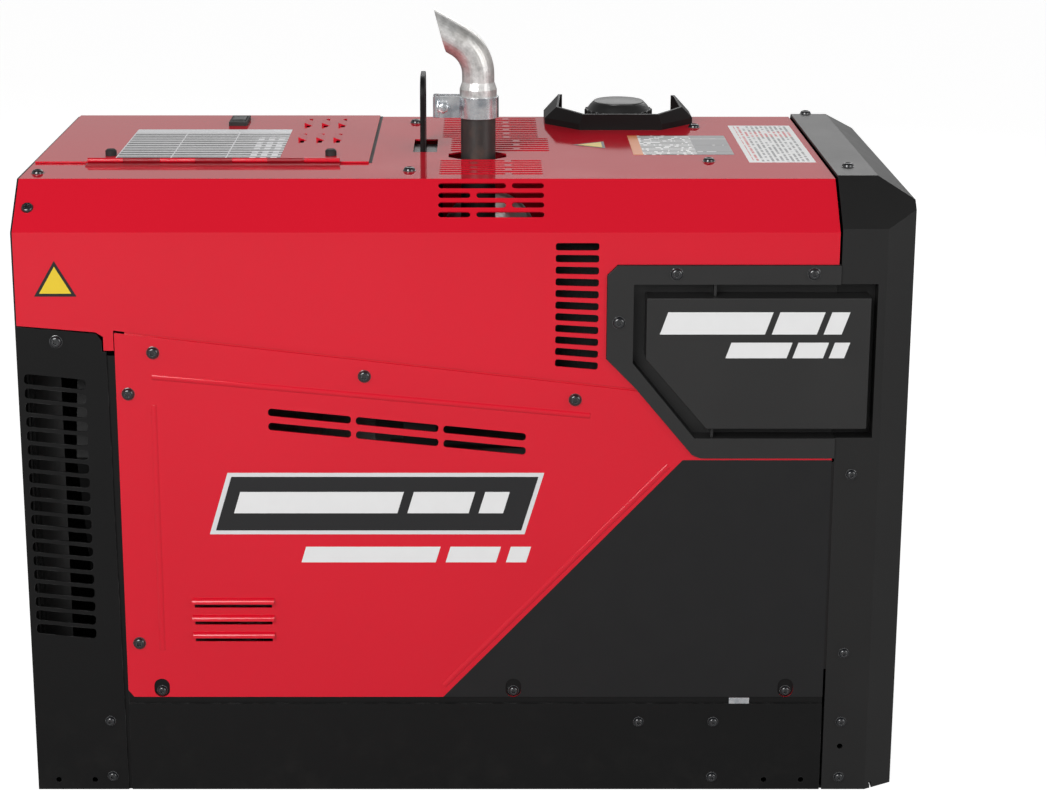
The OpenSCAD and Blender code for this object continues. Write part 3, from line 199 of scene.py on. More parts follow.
class Shader:
    """A material's nodes, added one at a time."""

    def __init__(self, tree):
        self.tree = tree

    def raw(self, kind, settings, sockets):
        node = self.tree.nodes.new(kind)
        for name, value in settings.items():
            setattr(node, name, value)
        for name, value in sockets.items():
            if isinstance(value, Value):
                self.tree.links.new(value.socket, node.inputs[name])
            else:
                node.inputs[name].default_value = value
        return node

    def node(self, kind, settings=None, sockets=None, output=0):
        return Value(self.tree, self.raw(kind, settings or {}, sockets or {}).outputs[output])

    def place(self):
        return self.node("ShaderNodeTexCoord", output="Object")

    def axes(self):
        """X, Y and Z of the point, in metres."""
        split = self.raw("ShaderNodeSeparateXYZ", {}, {"Vector": self.place()})
        return [Value(self.tree, split.outputs[name]) for name in "XYZ"]

    def noise(self, scale, detail=4.0, roughness=0.5, stretch=(1, 1, 1)):
        where = self.node("ShaderNodeMapping", {}, {"Vector": self.place(), "Scale": stretch})
        return self.node("ShaderNodeTexNoise", {}, {
            "Vector": where, "Scale": scale, "Detail": detail, "Roughness": roughness})

    def mix(self, factor, first, second):
        node = self.raw("ShaderNodeMix", {"data_type": "RGBA"}, {"Factor": factor, 6: first, 7: second})
        return Value(self.tree, node.outputs[2])

    def bump(self, height, distance):
        """A normal that leans as a relief of the given height in metres would make it."""
        return self.node("ShaderNodeBump", {}, {"Height": height, "Distance": distance, "Strength": 1.0})

    def edge(self, radius):
        """1 on sharp outer edges, 0 on flats: how far a bevelled normal turns from the real one."""
        soft = self.node("ShaderNodeBevel", {"samples": 4}, {"Radius": radius})
        real = self.node("ShaderNodeNewGeometry", output="Normal")
        dot = self.raw("ShaderNodeVectorMath", {"operation": "DOT_PRODUCT"}, {0: soft, 1: real})
        turned_away = 1 - Value(self.tree, dot.outputs["Value"])
        return turned_away.between(0.02, 0.25)


def colour(r, g, b):
    return (r, g, b, 1)


def material(name, build, **fixed):
    """A material whose build(shader) returns the varying sockets, with fixed ones set on the shader itself."""
    made = bpy.data.materials.new(name)
    made.use_nodes = True
    tree = made.node_tree
    principled = tree.nodes["Principled BSDF"]
    for socket, value in fixed.items():
        principled.inputs[socket.replace("_", " ")].default_value = value
    for socket, value in build(Shader(tree)).items():
        if isinstance(value, Value):
            tree.links.new(value.socket, principled.inputs[socket])
        else:
            principled.inputs[socket].default_value = value
    return made

# %% [markdown]
# Most of the machine is folded sheet with a hard coat on it. The colour hardly changes over a panel, but a real coat
# is never flat: it has a faint orange peel, it picks up smudges, and it thins a little over the sharp edges. Each
# finish below is one short function that says what varies. What is the same all over goes on the shader directly.

# %% Paint and powder coat
RED, DEEP_RED, CHIPPED_RED = colour(0.68, 0.006, 0.024), colour(0.60, 0.004, 0.018), colour(0.75, 0.08, 0.09)


def red_coat(s):
    """Red that deepens in wide clouds and is chipped paler along the edges."""
    shade = s.mix(s.noise(2.2, 2), RED, DEEP_RED)
    worn = s.edge(0.0012) * s.noise(70, 5, 0.7).between(0.5, 0.72)
    return s.mix(worn * 0.5, shade, CHIPPED_RED)


def gloss_red(s):
    """Red under a hard gloss, with smudges and a faint orange peel."""
    smudges = s.noise(7, 6, 0.62).between(0.48, 0.8)
    return {"Base Color": red_coat(s), "Roughness": 0.07 + 0.07 * smudges,
            "Normal": s.bump(s.noise(420, 1), 0.000006)}


def door_red(s):
    """The door's red coat, with a satin black film over its lower front corner."""
    x, y, z = s.axes()
    slope = (x - FILM_FOOT[0]) * (FILM_TOP[1] - FILM_FOOT[1]) - (z - FILM_FOOT[1]) * (FILM_TOP[0] - FILM_FOOT[0])
    film = (slope > 0) * (z < FILM_TOP[1]) * (y.abs() > FILM_DEPTH)
    grain = s.noise(900, 2)
    film_shade = s.mix(s.noise(30, 5), colour(0.003, 0.003, 0.0035), colour(0.006, 0.006, 0.0065))
    smudges = s.noise(7, 6, 0.62).between(0.48, 0.8)
    return {"Base Color": s.mix(film, red_coat(s), film_shade),
            "Roughness": (0.07 + 0.07 * smudges) * (1 - film) + (0.30 + 0.1 * grain) * film,
            "Normal": s.bump(s.noise(420, 1), 0.000006)}


def powder(low, high, rough, worn_colour=colour(0.16, 0.16, 0.16)):
    """A powder coat: fine pebbles, cloudy shade, and dust that settles low down."""
    def build(s):
        x, y, z = s.axes()
        shade = s.mix(s.noise(5, 4), colour(low, low, low), colour(high, high, high * 1.03))
        worn = s.edge(0.001) * s.noise(60, 5, 0.7).between(0.45, 0.7)
        dust = s.noise(25, 6, 0.7).between(0.5, 0.8) * (1 - z.between(0.0, 0.15)) * 0.06
        dusty = s.mix(dust, s.mix(worn * 0.6, shade, worn_colour), colour(0.10, 0.09, 0.08))
        return {"Base Color": dusty, "Roughness": rough + 0.12 * s.noise(18, 5),
                "Normal": s.bump(s.noise(700, 2), 0.00003)}
    return build


FILM_FOOT, FILM_TOP, FILM_DEPTH = (-0.033, 0.124), (0.255, 0.430), 0.2726
finishes = {
    "red_paint": material("red_paint", gloss_red),
    "black_powder": material("black_powder", powder(0.0035, 0.006, 0.42), Specular_IOR_Level=0.22),
    "black_steel": material("black_steel", powder(0.006, 0.010, 0.34)),
}
door_paint = material("door_paint", door_red)
# The hinge wears the roof's paint, but its red is darker here: painted shade, so the barrel reads as a thin dark line.
shaded_hinge_red = material("shaded_hinge_red", lambda s: {
    "Base Color": s.mix(s.noise(90, 5), colour(0.34, 0.004, 0.012), colour(0.26, 0.003, 0.010)),
    "Roughness": 0.26 + 0.14 * s.noise(40, 4), "Normal": s.bump(s.noise(420, 1), 0.00001)})
print("paints:", [m.name for m in finishes.values()], door_paint.name)

# %% [markdown]
# Moulded plastic has an etched grain, finer than leather and quite even. Its shine comes in patches, where it was
# handled. Rubber is duller, with a bloom of grey on it.

# %% Plastic and rubber
def moulded(low, high, rough, grain=520, depth=0.00005):
    def build(s):
        shade = s.mix(s.noise(8, 5), colour(low, low, low), colour(high * 1.03, high, high * 0.99))
        rubbed = s.edge(0.0015) * s.noise(40, 5, 0.7).between(0.4, 0.7)
        pebbles = s.node("ShaderNodeTexVoronoi", {"feature": "SMOOTH_F1"},
                         {"Vector": s.place(), "Scale": grain, "Smoothness": 0.6})
        return {"Base Color": s.mix(rubbed * 0.5, shade, colour(high * 3, high * 3, high * 3)),
                "Roughness": rough + 0.14 * s.noise(12, 6, 0.6), "Normal": s.bump(pebbles, depth)}
    return build


def rubber(s):
    bloom = s.noise(35, 6, 0.7).between(0.45, 0.8)
    return {"Base Color": s.mix(bloom * 0.5, colour(0.012, 0.012, 0.012), colour(0.045, 0.043, 0.04)),
            "Roughness": 0.62 + 0.15 * s.noise(20, 4), "Normal": s.bump(s.noise(600, 3), 0.00006)}


finishes.update({
    "bezel_plastic": material("bezel_plastic", moulded(0.007, 0.012, 0.36), Specular_IOR_Level=0.4),
    "frame_plastic": material("frame_plastic", moulded(0.012, 0.018, 0.36)),
    "tank_plastic": material("tank_plastic", moulded(0.02, 0.03, 0.5, 260, 0.0001)),
    "yellow_plastic": material("yellow_plastic", lambda s: {
        "Base Color": s.mix(s.noise(30, 4), colour(0.75, 0.47, 0.02), colour(0.62, 0.38, 0.02)),
        "Roughness": 0.35 + 0.15 * s.noise(50, 4), "Normal": s.bump(s.noise(500, 2), 0.00004)}),
    # Pale grey along all sharp edges, socket rims too: a painted highlight for their glints, and partly bare steel
    # worn through.
    "dark_gloss": material("dark_gloss", lambda s: {
        "Base Color": s.mix(s.edge(0.0005), s.mix(
            s.noise(15, 5), colour(0.006, 0.007, 0.009), colour(0.012, 0.013, 0.015)), colour(0.22, 0.22, 0.22)),
        "Roughness": 0.06 + 0.12 * s.noise(9, 6, 0.65).between(0.45, 0.8),
        "Normal": s.bump(s.noise(40, 2), 0.00001)}, Specular_IOR_Level=0.9),
    "rubber": material("rubber", rubber),
})
print("plastics:", len(finishes))

# %% [markdown]
# Bare metal keeps the marks of how it was made. Zinc plate is bright and a little blue, with soft cloudy patches. The
# rain elbow was brushed and then mottled by heat. A casting is pitted and dull, and hot iron is nearly black with rust
# in its hollows.

# %% Bare metal
def zinc_plate(s):
    cloud = s.noise(60, 6, 0.65)
    plate = s.mix(cloud.between(0.35, 0.65), colour(0.50, 0.54, 0.58), colour(0.95, 0.96, 0.97))
    return {"Base Color": plate, "Roughness": 0.10 + 0.14 * s.noise(130, 4),
            "Normal": s.bump(s.noise(120, 4), 0.00006)}


def mottled_steel(s):
    """Satin tube with heat mottling and fine drawn lines along its length."""
    mottle = s.noise(85, 8, 0.72).between(0.35, 0.7)
    drawn = s.noise(60, 3, 0.5, (14, 14, 1))
    blued = s.noise(14, 4).between(0.5, 0.8)
    base = s.mix(mottle, colour(0.56, 0.555, 0.54), colour(0.90, 0.895, 0.88))
    return {"Base Color": s.mix(blued * 0.35, base, colour(0.42, 0.36, 0.28)),
            "Roughness": 0.26 + 0.18 * mottle + 0.06 * drawn, "Normal": s.bump(mottle + 0.6 * drawn, 0.00008)}


def casting(s):
    pits = s.node("ShaderNodeTexVoronoi", {}, {"Vector": s.place(), "Scale": 420.0})
    grime = s.noise(16, 7, 0.68).between(0.48, 0.75)
    base = s.mix(s.noise(45, 6), colour(0.36, 0.36, 0.355), colour(0.52, 0.52, 0.51))
    return {"Base Color": s.mix(grime * 0.6, base, colour(0.08, 0.07, 0.06)),
            "Roughness": 0.42 + 0.25 * grime, "Normal": s.bump(pits, 0.00025), "Metallic": 0.95 - 0.5 * grime}


def hot_iron(s):
    rust = s.noise(38, 8, 0.7).between(0.5, 0.72)
    base = s.mix(s.noise(20, 5), colour(0.045, 0.044, 0.042), colour(0.075, 0.073, 0.07))
    return {"Base Color": s.mix(rust * 0.55, base, colour(0.11, 0.05, 0.025)), "Metallic": 0.6 - 0.5 * rust,
            "Roughness": 0.42 + 0.28 * rust, "Normal": s.bump(s.noise(240, 6, 0.6) + 0.5 * rust, 0.00012)}


finishes.update({
    "zinc": material("zinc", zinc_plate, Metallic=0.85),
    "satin_steel": material("satin_steel", mottled_steel, Metallic=0.75),
    "cast_aluminium": material("cast_aluminium", casting),
    "dark_iron": material("dark_iron", hot_iron),
})
slot_of = {part["node"]: part["material_slot"] for part in frame["record"]["subparts"]}
body_of = {name: node["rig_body"] for name, node in nodes.items()}
own_paint = {"side_panel_near": door_paint, "side_panel_far": door_paint, "hatch_hinge": shaded_hinge_red}
for name, node in nodes.items():
    node.data.materials.clear()
    node.data.materials.append(own_paint.get(name, finishes[slot_of[name]]))
print("finished nodes:", len(nodes), "missing finishes:", set(slot_of.values()) - set(finishes))

# %% [markdown]
# A drawing of sheet metal has knife edges, and light slides straight off them. The real sheets were punched and
# folded, so every corner has a small radius that catches a thread of light. A copy of each node listed below is
# merged, cleaned of the triangles that the drawing left, and bevelled. The copy then stands for the node.

# %% Rounded copies of the nodes
def alone(*objects):
    """Selects these objects only, and makes the first one active."""
    bpy.ops.object.select_all(action="DESELECT")
    for each in objects:
        each.select_set(True)
    bpy.context.view_layer.objects.active = objects[0]


def join(name, pieces):
    """Joins separate pieces into one object of the given name."""
    alone(*pieces)
    bpy.ops.object.join()
    whole = bpy.context.object
    whole.name = whole.data.name = name
    return whole


def edit(select="SELECT"):
    bpy.ops.object.mode_set(mode="EDIT")
    bpy.ops.mesh.select_all(action=select)


def leave():
    bpy.ops.object.mode_set(mode="OBJECT")


def apply(piece, kind, **settings):
    modifier = piece.modifiers.new(kind.lower(), kind)
    for key, value in settings.items():
        setattr(modifier, key, value)
    alone(piece)
    bpy.ops.object.modifier_apply(modifier=modifier.name)


def smooth(piece, angle=35):
    """Smooth shading that leaves large flats flat, because the largest faces rule their corners' normals."""
    alone(piece)
    bpy.ops.object.shade_smooth_by_angle(angle=radians(angle))
    apply(piece, "WEIGHTED_NORMAL", weight=100, keep_sharp=True)


def stands_for(piece, *names):
    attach(piece, body_of[names[0]])
    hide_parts(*names)
    return piece


SAME_POINT, SAME_PLANE = 0.000002, radians(0.6)


def copy_of(name):
    """A merged, quad-friendly copy of a node's mesh, riding on nothing yet."""
    piece = nodes[name].copy()
    piece.data = nodes[name].data.copy()
    piece.name = piece.data.name = name + "_made"
    for key in list(piece.keys()):
        del piece[key]
    piece.parent = None
    bpy.context.scene.collection.objects.link(piece)
    alone(piece)
    edit()
    bpy.ops.mesh.remove_doubles(threshold=SAME_POINT)
    bpy.ops.mesh.dissolve_limited(angle_limit=SAME_PLANE)
    leave()
    return piece


def rounded(name, width, segments=2, sharp=28):
    """A copy of a node with its sharp edges rounded to a width in mm. It stands for the node."""
    piece = copy_of(name)
    apply(piece, "BEVEL", width=width * MM, segments=segments, limit_method="ANGLE",
          angle_limit=radians(sharp), use_clamp_overlap=True, loop_slide=False)
    smooth(piece)
    return stands_for(piece, name)


SHEETS = {
    "roof_panel": 0.5, "side_panel_near": 0.5, "side_panel_far": 0.5, "rear_panel": 0.6, "base_frame": 1.0,
    "lift_frame": 1.0, "front_bezel": 1.6, "name_frame_near": 1.2, "name_frame_far": 1.2, "nameplate_near": 1.6,
    "nameplate_far": 1.6, "control_panel": 0.6, "fuel_guard": 1.4, "hatch_lid": 0.5, "hatch_hinge": 0.4,
}
for name, width in SHEETS.items():
    piece = rounded(name, width)
    print(f"{piece.name}: {len(piece.data.polygons)} faces")

# %% [markdown]
# Every panel hangs on button-head screws with a six-sided socket. One head is modelled: a disc is drawn in and raised
# step by step into a dome, and a six-sided pin is cut out of its middle. Copies go wherever the frame has a screw.

# %% Screw heads
def turned(name, steps, vertices=32, at=(0, 0, 0)):
    """A closed round body on Z through (radius, height) steps, bottom first, in metres."""
    radius, height = steps[0]
    bpy.ops.object.select_all(action="DESELECT")
    bpy.ops.mesh.primitive_circle_add(vertices=vertices, radius=radius, fill_type="NGON", location=(0, 0, height))
    piece = bpy.context.object
    piece.name = piece.data.name = name
    bpy.ops.object.transform_apply()
    edit()
    for next_radius, next_height in steps[1:]:
        bpy.ops.mesh.extrude_region_move(TRANSFORM_OT_translate={"value": (0, 0, next_height - height)})
        factor = next_radius / radius
        bpy.ops.transform.resize(value=(factor, factor, 1), center_override=(0, 0, next_height))
        radius, height = next_radius, next_height
    bpy.ops.mesh.select_all(action="SELECT")
    bpy.ops.mesh.normals_make_consistent(inside=False)
    leave()
    piece.location = at
    bpy.ops.object.transform_apply()
    return piece


def cut(piece, tool):
    """Takes a tool's shape out of a piece, and the tool with it."""
    apply(piece, "BOOLEAN", object=tool, operation="DIFFERENCE", solver="EXACT")
    bpy.data.objects.remove(tool)


FULLNESS, SOCKET = 0.6, 0.46


def screw_head(radius, height):
    """A domed head pointing up Z, its seat at the origin."""
    dome = [(cos(a) ** FULLNESS * radius * 0.95, height * (0.25 + 0.75 * sin(a)))
            for a in (radians(degrees) for degrees in range(8, 80, 12))]
    flange = [(radius * 1.06, 0), (radius * 1.06, height * 0.12), (radius * 0.98, height * 0.16)]
    head = turned("screw_head", flange + dome)
    bpy.ops.object.select_all(action="DESELECT")
    bpy.ops.mesh.primitive_cylinder_add(vertices=6, radius=radius * SOCKET, depth=height * 1.2,
                                        location=(0, 0, height * 1.05))
    cut(head, bpy.context.object)
    smooth(head, 40)
    return head


def islands(name):
    """The middle and half-size of each separate solid in a node, in metres."""
    piece = copy_of(name)
    edit()
    bpy.ops.mesh.separate(type="LOOSE")
    leave()
    parts = list(bpy.context.selected_objects)
    found = []
    for part in parts:
        points = [v.co for v in part.data.vertices]
        low = Vector(min(p[i] for p in points) for i in range(3))
        high = Vector(max(p[i] for p in points) for i in range(3))
        found.append(((low + high) / 2, (high - low) / 2))
        bpy.data.objects.remove(part)
    return found


def screws_on(name, seat_of, height=5 * MM):
    """One screw head on each solid of a node. seat_of gives its seat, the way it points, and its radius."""
    heads = []
    for middle, half in islands(name):
        seat, points_to, radius = seat_of(middle, half)
        head = screw_head(radius, height)
        head.data.materials.append(finishes["dark_gloss"])
        head.matrix_world = Matrix.Translation(seat) @ points_to.to_track_quat("Z", "Y").to_matrix().to_4x4()
        alone(head)
        bpy.ops.object.transform_apply()
        heads.append(head)
    print(f"{name}_made: {len(heads)} heads")
    return stands_for(join(name + "_made", heads), name)


SLOPE, SLOPE_STARTS, SEAT_DROP = Vector((0, -53, 56)).normalized(), 0.235, 1.7 * MM


def roof_seat(middle, half):
    """The seat of a roof screw. Those far from the middle line stand on the sloping corner."""
    if abs(middle.y) > SLOPE_STARTS:
        way = Vector((0, SLOPE.y if middle.y < 0 else -SLOPE.y, SLOPE.z))
        return middle - way * SEAT_DROP, way, half.x
    return Vector((middle.x, middle.y, middle.z - half.z)), Vector((0, 0, 1)), half.x


def side_seat(middle, half):
    """The seat of a side screw, which points straight out."""
    side = -1 if middle.y < 0 else 1
    return Vector((middle.x, middle.y - side * half.y, middle.z)), Vector((0, side, 0)), half.x


screws_on("roof_screws", roof_seat)
screws_on("side_screws", side_seat)

# %% [markdown]
# Printed films tell the user how to work the machine. Here they carry only plain bars and blocks, in the rhythm of
# print. Each one is a plate a quarter of a millimetre thick, and its pattern is worked out from where a point lies.

# %% Films
FILM = 0.25 * MM


def plate(name, corners, raised, paint):
    """A closed plate: a flat face over corners in mm, drawn out by a vector in metres."""
    bpy.ops.object.select_all(action="DESELECT")
    bpy.ops.mesh.primitive_circle_add(vertices=len(corners), fill_type="NGON")
    piece = bpy.context.object
    piece.name = piece.data.name = name
    for vertex, corner in zip(piece.data.vertices, corners):
        vertex.co = Vector(corner) * MM
    edit()
    bpy.ops.mesh.extrude_region_move(TRANSFORM_OT_translate={"value": tuple(raised)})
    bpy.ops.mesh.select_all(action="SELECT")
    bpy.ops.mesh.normals_make_consistent(inside=False)
    leave()
    piece.data.materials.append(paint)
    return piece


def film(name, corners, lift, body, paint):
    """A plate as thin as a label, which lies on a surface and is raised along lift."""
    piece = plate(name, corners, Vector(lift) * FILM, paint)
    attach(piece, body)
    return piece


def level(x0, x1, y0, y1, z):
    """The corners of a level rectangle."""
    return [(x0, y0, z), (x1, y0, z), (x1, y1, z), (x0, y1, z)]


def inside(value, low, high):
    """1 between two limits."""
    return (value > low) * (value < high)


def stripes(s, value, pitch, fill):
    """1 on bars of a given share of the pitch."""
    return (value * (1 / pitch)).math("FRACT") < fill


def print_rows(s, along, across, pitch, broken):
    """Rows of short bars of uneven length, like lines of print with no letters in them."""
    row = (across * (1 / pitch)).math("FLOOR")
    shifted = s.node("ShaderNodeCombineXYZ", {}, {"X": along * broken, "Y": row * 3.7, "Z": 0.0})
    runs = s.node("ShaderNodeTexNoise", {}, {"Vector": shifted, "Scale": 1.0, "Detail": 1.0})
    return stripes(s, across, pitch, 0.5) * (runs > 0.44)


def table_film(s):
    """Dark and pale bars divided by white lines, with a pale heading band and a block of small squares."""
    x, y, z = s.axes()
    dark = stripes(s, y + 0.097, 0.0156, 0.52)
    line = stripes(s, x + 0.438, 0.0677, 0.022)
    heading = y > 0.076
    squares = (x > -0.276) * (y < 0.045) * stripes(s, x, 0.013, 0.6) * stripes(s, y, 0.021, 0.6)
    clouds = s.noise(9, 1, 0.5, (1, 3, 1)).between(0.4, 0.6)
    shade = s.mix(clouds, colour(0.07, 0.07, 0.075), colour(0.16, 0.16, 0.17))
    body = s.mix(dark, colour(0.72, 0.72, 0.73), shade)
    lined = s.mix((line + heading + squares).math("MINIMUM", 1.0), body, colour(0.84, 0.84, 0.86))
    return {"Base Color": lined, "Roughness": 0.22 + 0.1 * s.noise(30, 4)}


def rating_film(s):
    """White with rows of print, a bright band down the left edge, and grey blocks on the right."""
    x, y, z = s.axes()
    rows = print_rows(s, x, y, 0.0094, 150)
    band = x < 0.2165
    grey = (x > 0.284) * (1 - stripes(s, y, 0.045, 0.06))
    paper = s.mix(grey, colour(0.80, 0.80, 0.80), colour(0.17, 0.17, 0.18))
    inked = s.mix(rows * (1 - grey), paper, colour(0.03, 0.03, 0.03))
    return {"Base Color": s.mix(band, inked, colour(0.74, 0.20, 0.02)), "Roughness": 0.25 + 0.1 * s.noise(30, 4)}


def notice_film(s):
    """White, with thin rows, some of them red."""
    x, y, z = s.axes()
    rows = print_rows(s, y, x, 0.0062, 110)
    red = (x < 0.358) + inside(y, 0.06, 0.1)
    ink = s.mix(red.math("MINIMUM", 1.0), colour(0.16, 0.16, 0.17), colour(0.55, 0.03, 0.04))
    print_area = inside(x, 0.349, 0.419) * inside(y, -0.109, 0.139)
    return {"Base Color": s.mix(rows * print_area, colour(0.78, 0.78, 0.78), ink),
            "Roughness": 0.25 + 0.1 * s.noise(30, 4)}


def plain_ink(base, rough=0.25):
    """An ink of one colour, a little uneven, as screen printing leaves it."""
    return lambda s: {"Base Color": s.mix(s.noise(60, 4) * 0.25, colour(*base), colour(*(c * 0.8 for c in base))),
                      "Roughness": rough + 0.1 * s.noise(30, 4), "Normal": s.bump(s.noise(500, 1), 0.000005)}


white_ink = material("white_ink", plain_ink((0.78, 0.78, 0.78)))
black_ink = material("black_ink", plain_ink((0.012, 0.012, 0.013), 0.3))
yellow_ink = material("yellow_ink", plain_ink((0.78, 0.56, 0.03)))
grey_ink = material("grey_ink", plain_ink((0.70, 0.70, 0.71)))
ROOF, LID, SIDE, UP = 762, 764.3, 273, (0, 0, 1)
flat_films = {
    "lid_table": (level(-438, -235, -97, 103, LID), "hatch", material("table_film", table_film)),
    "rating_film": (level(204, 330, -64, 70, ROOF), "machine", material("rating_film", rating_film)),
    "notice_film": (level(343, 425, -115, 145, ROOF), "machine", material("notice_film", notice_film)),
}
for name, (corners, body, paint) in flat_films.items():
    film(name, corners, UP, body, paint)
for name, inset, paint, above in (("edge", 0, black_ink, 0), ("face", 3.6, yellow_ink, FILM / MM)):
    y, z = -SIDE - above, ROOF + above
    film("side_triangle_" + name, [(-512 + inset * 1.7, y, 632 + inset), (-462 - inset * 1.7, y, 632 + inset),
                                   (-487, y, 675 - inset * 1.9)], (0, -1, 0), "machine", paint)
    film("roof_triangle_" + name, [(171 - inset, -20 + inset * 1.7, z), (171 - inset, 28 - inset * 1.7, z),
                                   (130 + inset * 2, 4, z)], UP, "machine", paint)
print("films:", len(flat_films) + 4)

# %% [markdown]
# The door and the nameplate carry big lettering on the real machine. Plain slanted blocks take its place, with the
# same weight of light and dark, so that the panels don't look bare.

# %% Slanted blocks
def block(name, x0, x1, z0, z1, slant, y, paint, side):
    """An upright thin plate on one side, its top pushed forward along X by slant times its height."""
    push = (z1 - z0) * slant * (1 if side < 0 else -1)
    return film(name, [(x0, side * y, z0), (x1, side * y, z0), (x1 + push, side * y, z1), (x0 + push, side * y, z1)],
                (0, side, 0), "machine", paint)


def stripe_row(name, x0, x1, z0, z1, shares, gap, slant, y, paint, side):
    """A row of stripes that split a length by shares, the longest at the left as seen from outside."""
    room = x1 - x0 - (len(shares) - 1) * gap
    made, start = [], x0
    for i, share in enumerate(shares if side < 0 else shares[::-1]):
        width = room * share / sum(shares)
        made.append(block(f"{name}_{i}", start, start + width, z0, z1, slant, y, paint, side))
        start += width + gap
    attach(join(name, made), "machine")


PLATE, DOOR, THIN = 281.05, SIDE + 0.02, FILM / MM
PLATE_SLANT, DOOR_SLANT = 0.35, 0.3
for side, label in ((-1, "near"), (1, "far")):
    low_x = (302, 442) if side < 0 else (226, 366)
    stripe_row("plate_stripes_top_" + label, 224, 438, 588, 615, (7, 3, 1.2), 8, PLATE_SLANT, PLATE, white_ink, side)
    stripe_row("plate_stripes_low_" + label, *low_x, 559, 578, (4, 2, 1), 7, PLATE_SLANT, PLATE, white_ink, side)
    door_x = (-204, 68) if side < 0 else (-320, -48)
    block("door_band_edge_" + label, -314, 66, 336, 414, DOOR_SLANT, DOOR, grey_ink, side)
    block("door_band_" + label, -306.5, 62, 341, 409, DOOR_SLANT, DOOR + THIN, black_ink, side)
    stripe_row("door_band_stripes_" + label, -284, 40, 363, 390, (8, 3, 1.2), 12, DOOR_SLANT, DOOR + 2 * THIN,
               white_ink, side)
    stripe_row("door_low_stripes_" + label, *door_x, 300, 320, (8, 3, 1.2), 12, DOOR_SLANT, DOOR, white_ink, side)
print("stripes on two sides")

# %% [markdown]
# Behind the grilles, the side vents and a gap at each front corner stand black sheets with a foam grain. They are
# painted
# shade: they stop the light from passing through, so the openings read as dark as the machine's shaded inside. A
# curved scoop in the near rear corner leads the air to the blower, and it is what shows through the upper slots.

# %% Dark sheets behind the grilles, as painted shade
def sheet(name, corners, way, thickness, paint, body="machine", soft=0.8):
    """A plate of a given thickness with small rounded edges. All in mm."""
    piece = plate(name, corners, Vector(way) * thickness * MM, paint)
    apply(piece, "BEVEL", width=soft * MM, segments=2, limit_method="ANGLE", angle_limit=radians(30))
    smooth(piece)
    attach(piece, body)
    return piece


def upright(x0, x1, z0, z1, y):
    """The corners of an upright rectangle that faces the side of the machine."""
    return [(x0, y, z0), (x1, y, z0), (x1, y, z1), (x0, y, z1)]


def foam(s):
    cells = s.node("ShaderNodeTexVoronoi", {}, {"Vector": s.place(), "Scale": 260.0})
    return {"Base Color": s.mix(cells, colour(0.004, 0.004, 0.004), colour(0.012, 0.012, 0.012)),
            "Roughness": 0.85 + 0.1 * cells, "Normal": s.bump(cells, 0.0008)}


# These black sheets are painted shade, set where the machine's inside lies in shade so that no light shows through.
shade_foam = material("shade_foam", foam)
sheet("rear_shade_sheet", upright(-531, -446, 12, 640, 4), (0, -1, 0), 8, shade_foam)
sheet("rear_grille_shade_sheet", [(-531, -232, 12), (-531, 232, 12), (-531, 232, 655), (-531, -232, 655)], (1, 0, 0), 4,
      shade_foam)
for side, label in ((-1, "near"), (1, "far")):
    sheet("corner_shade_sheet_" + label, upright(420, 450, 4, 104, side * 258), (0, -side, 0), 3, shade_foam)
    sheet("vent_shade_sheet_" + label, upright(100, 214, 505, 704, side * 232), (0, -side, 0), 6, shade_foam)

SCOOP_EDGE, SCOOP_MIDDLE, SCOOP_LOW, SCOOP_HIGH = (-0.5325, -0.235, 0.47), (-0.4925, -0.235, 0.47), 0.13, 0.655
bpy.ops.object.select_all(action="DESELECT")
bpy.ops.mesh.primitive_plane_add(size=1, location=SCOOP_EDGE)
scoop = bpy.context.object
scoop.name = scoop.data.name = "air_scoop"
bpy.ops.object.transform_apply()
edit()
bpy.ops.mesh.delete(type="ONLY_FACE")
bpy.ops.mesh.select_all(action="SELECT")
bpy.ops.mesh.merge(type="CENTER")
bpy.ops.mesh.extrude_region_move(TRANSFORM_OT_translate={"value": (0, 0, 0.26)})
bpy.ops.mesh.select_all(action="SELECT")
bpy.ops.mesh.spin(steps=14, angle=radians(80), center=SCOOP_MIDDLE, axis=(0, 0, 1))
leave()
for vertex in scoop.data.vertices:
    vertex.co.z = SCOOP_LOW if vertex.co.z < 0.6 else SCOOP_HIGH
apply(scoop, "SOLIDIFY", thickness=2 * MM, offset=0)
smooth(scoop)
scoop.data.materials.append(finishes["tank_plastic"])
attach(scoop, "machine")
print("scoop faces:", len(scoop.data.polygons))

# %% [markdown]
# A grey collar closes the roof slot round the lift plate, a little below the sheet. A dark strip with the finish of
# rubber lies on the roof round the hatch lid and draws a dark line beside its edge: a painted shadow of the gap there.

# %% Collar and gap shadow
collar_grey = material("collar_grey", powder(0.10, 0.16, 0.4))
low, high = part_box("lift_frame")
lift_x = (low.x + high.x) / 2 / MM
PLATE_HALF, COLLAR = 3.6, 28
for label, x0, x1 in (("rear", lift_x - COLLAR, lift_x - PLATE_HALF), ("front", lift_x + PLATE_HALF, lift_x + COLLAR)):
    sheet("lift_collar_" + label, level(x0, x1, -52, 52, ROOF - 9), UP, 1.5, collar_grey, soft=0.3)
low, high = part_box("hatch_lid")
lid_x0, lid_x1, lid_y0, lid_y1 = low.x / MM, high.x / MM, low.y / MM, high.y / MM
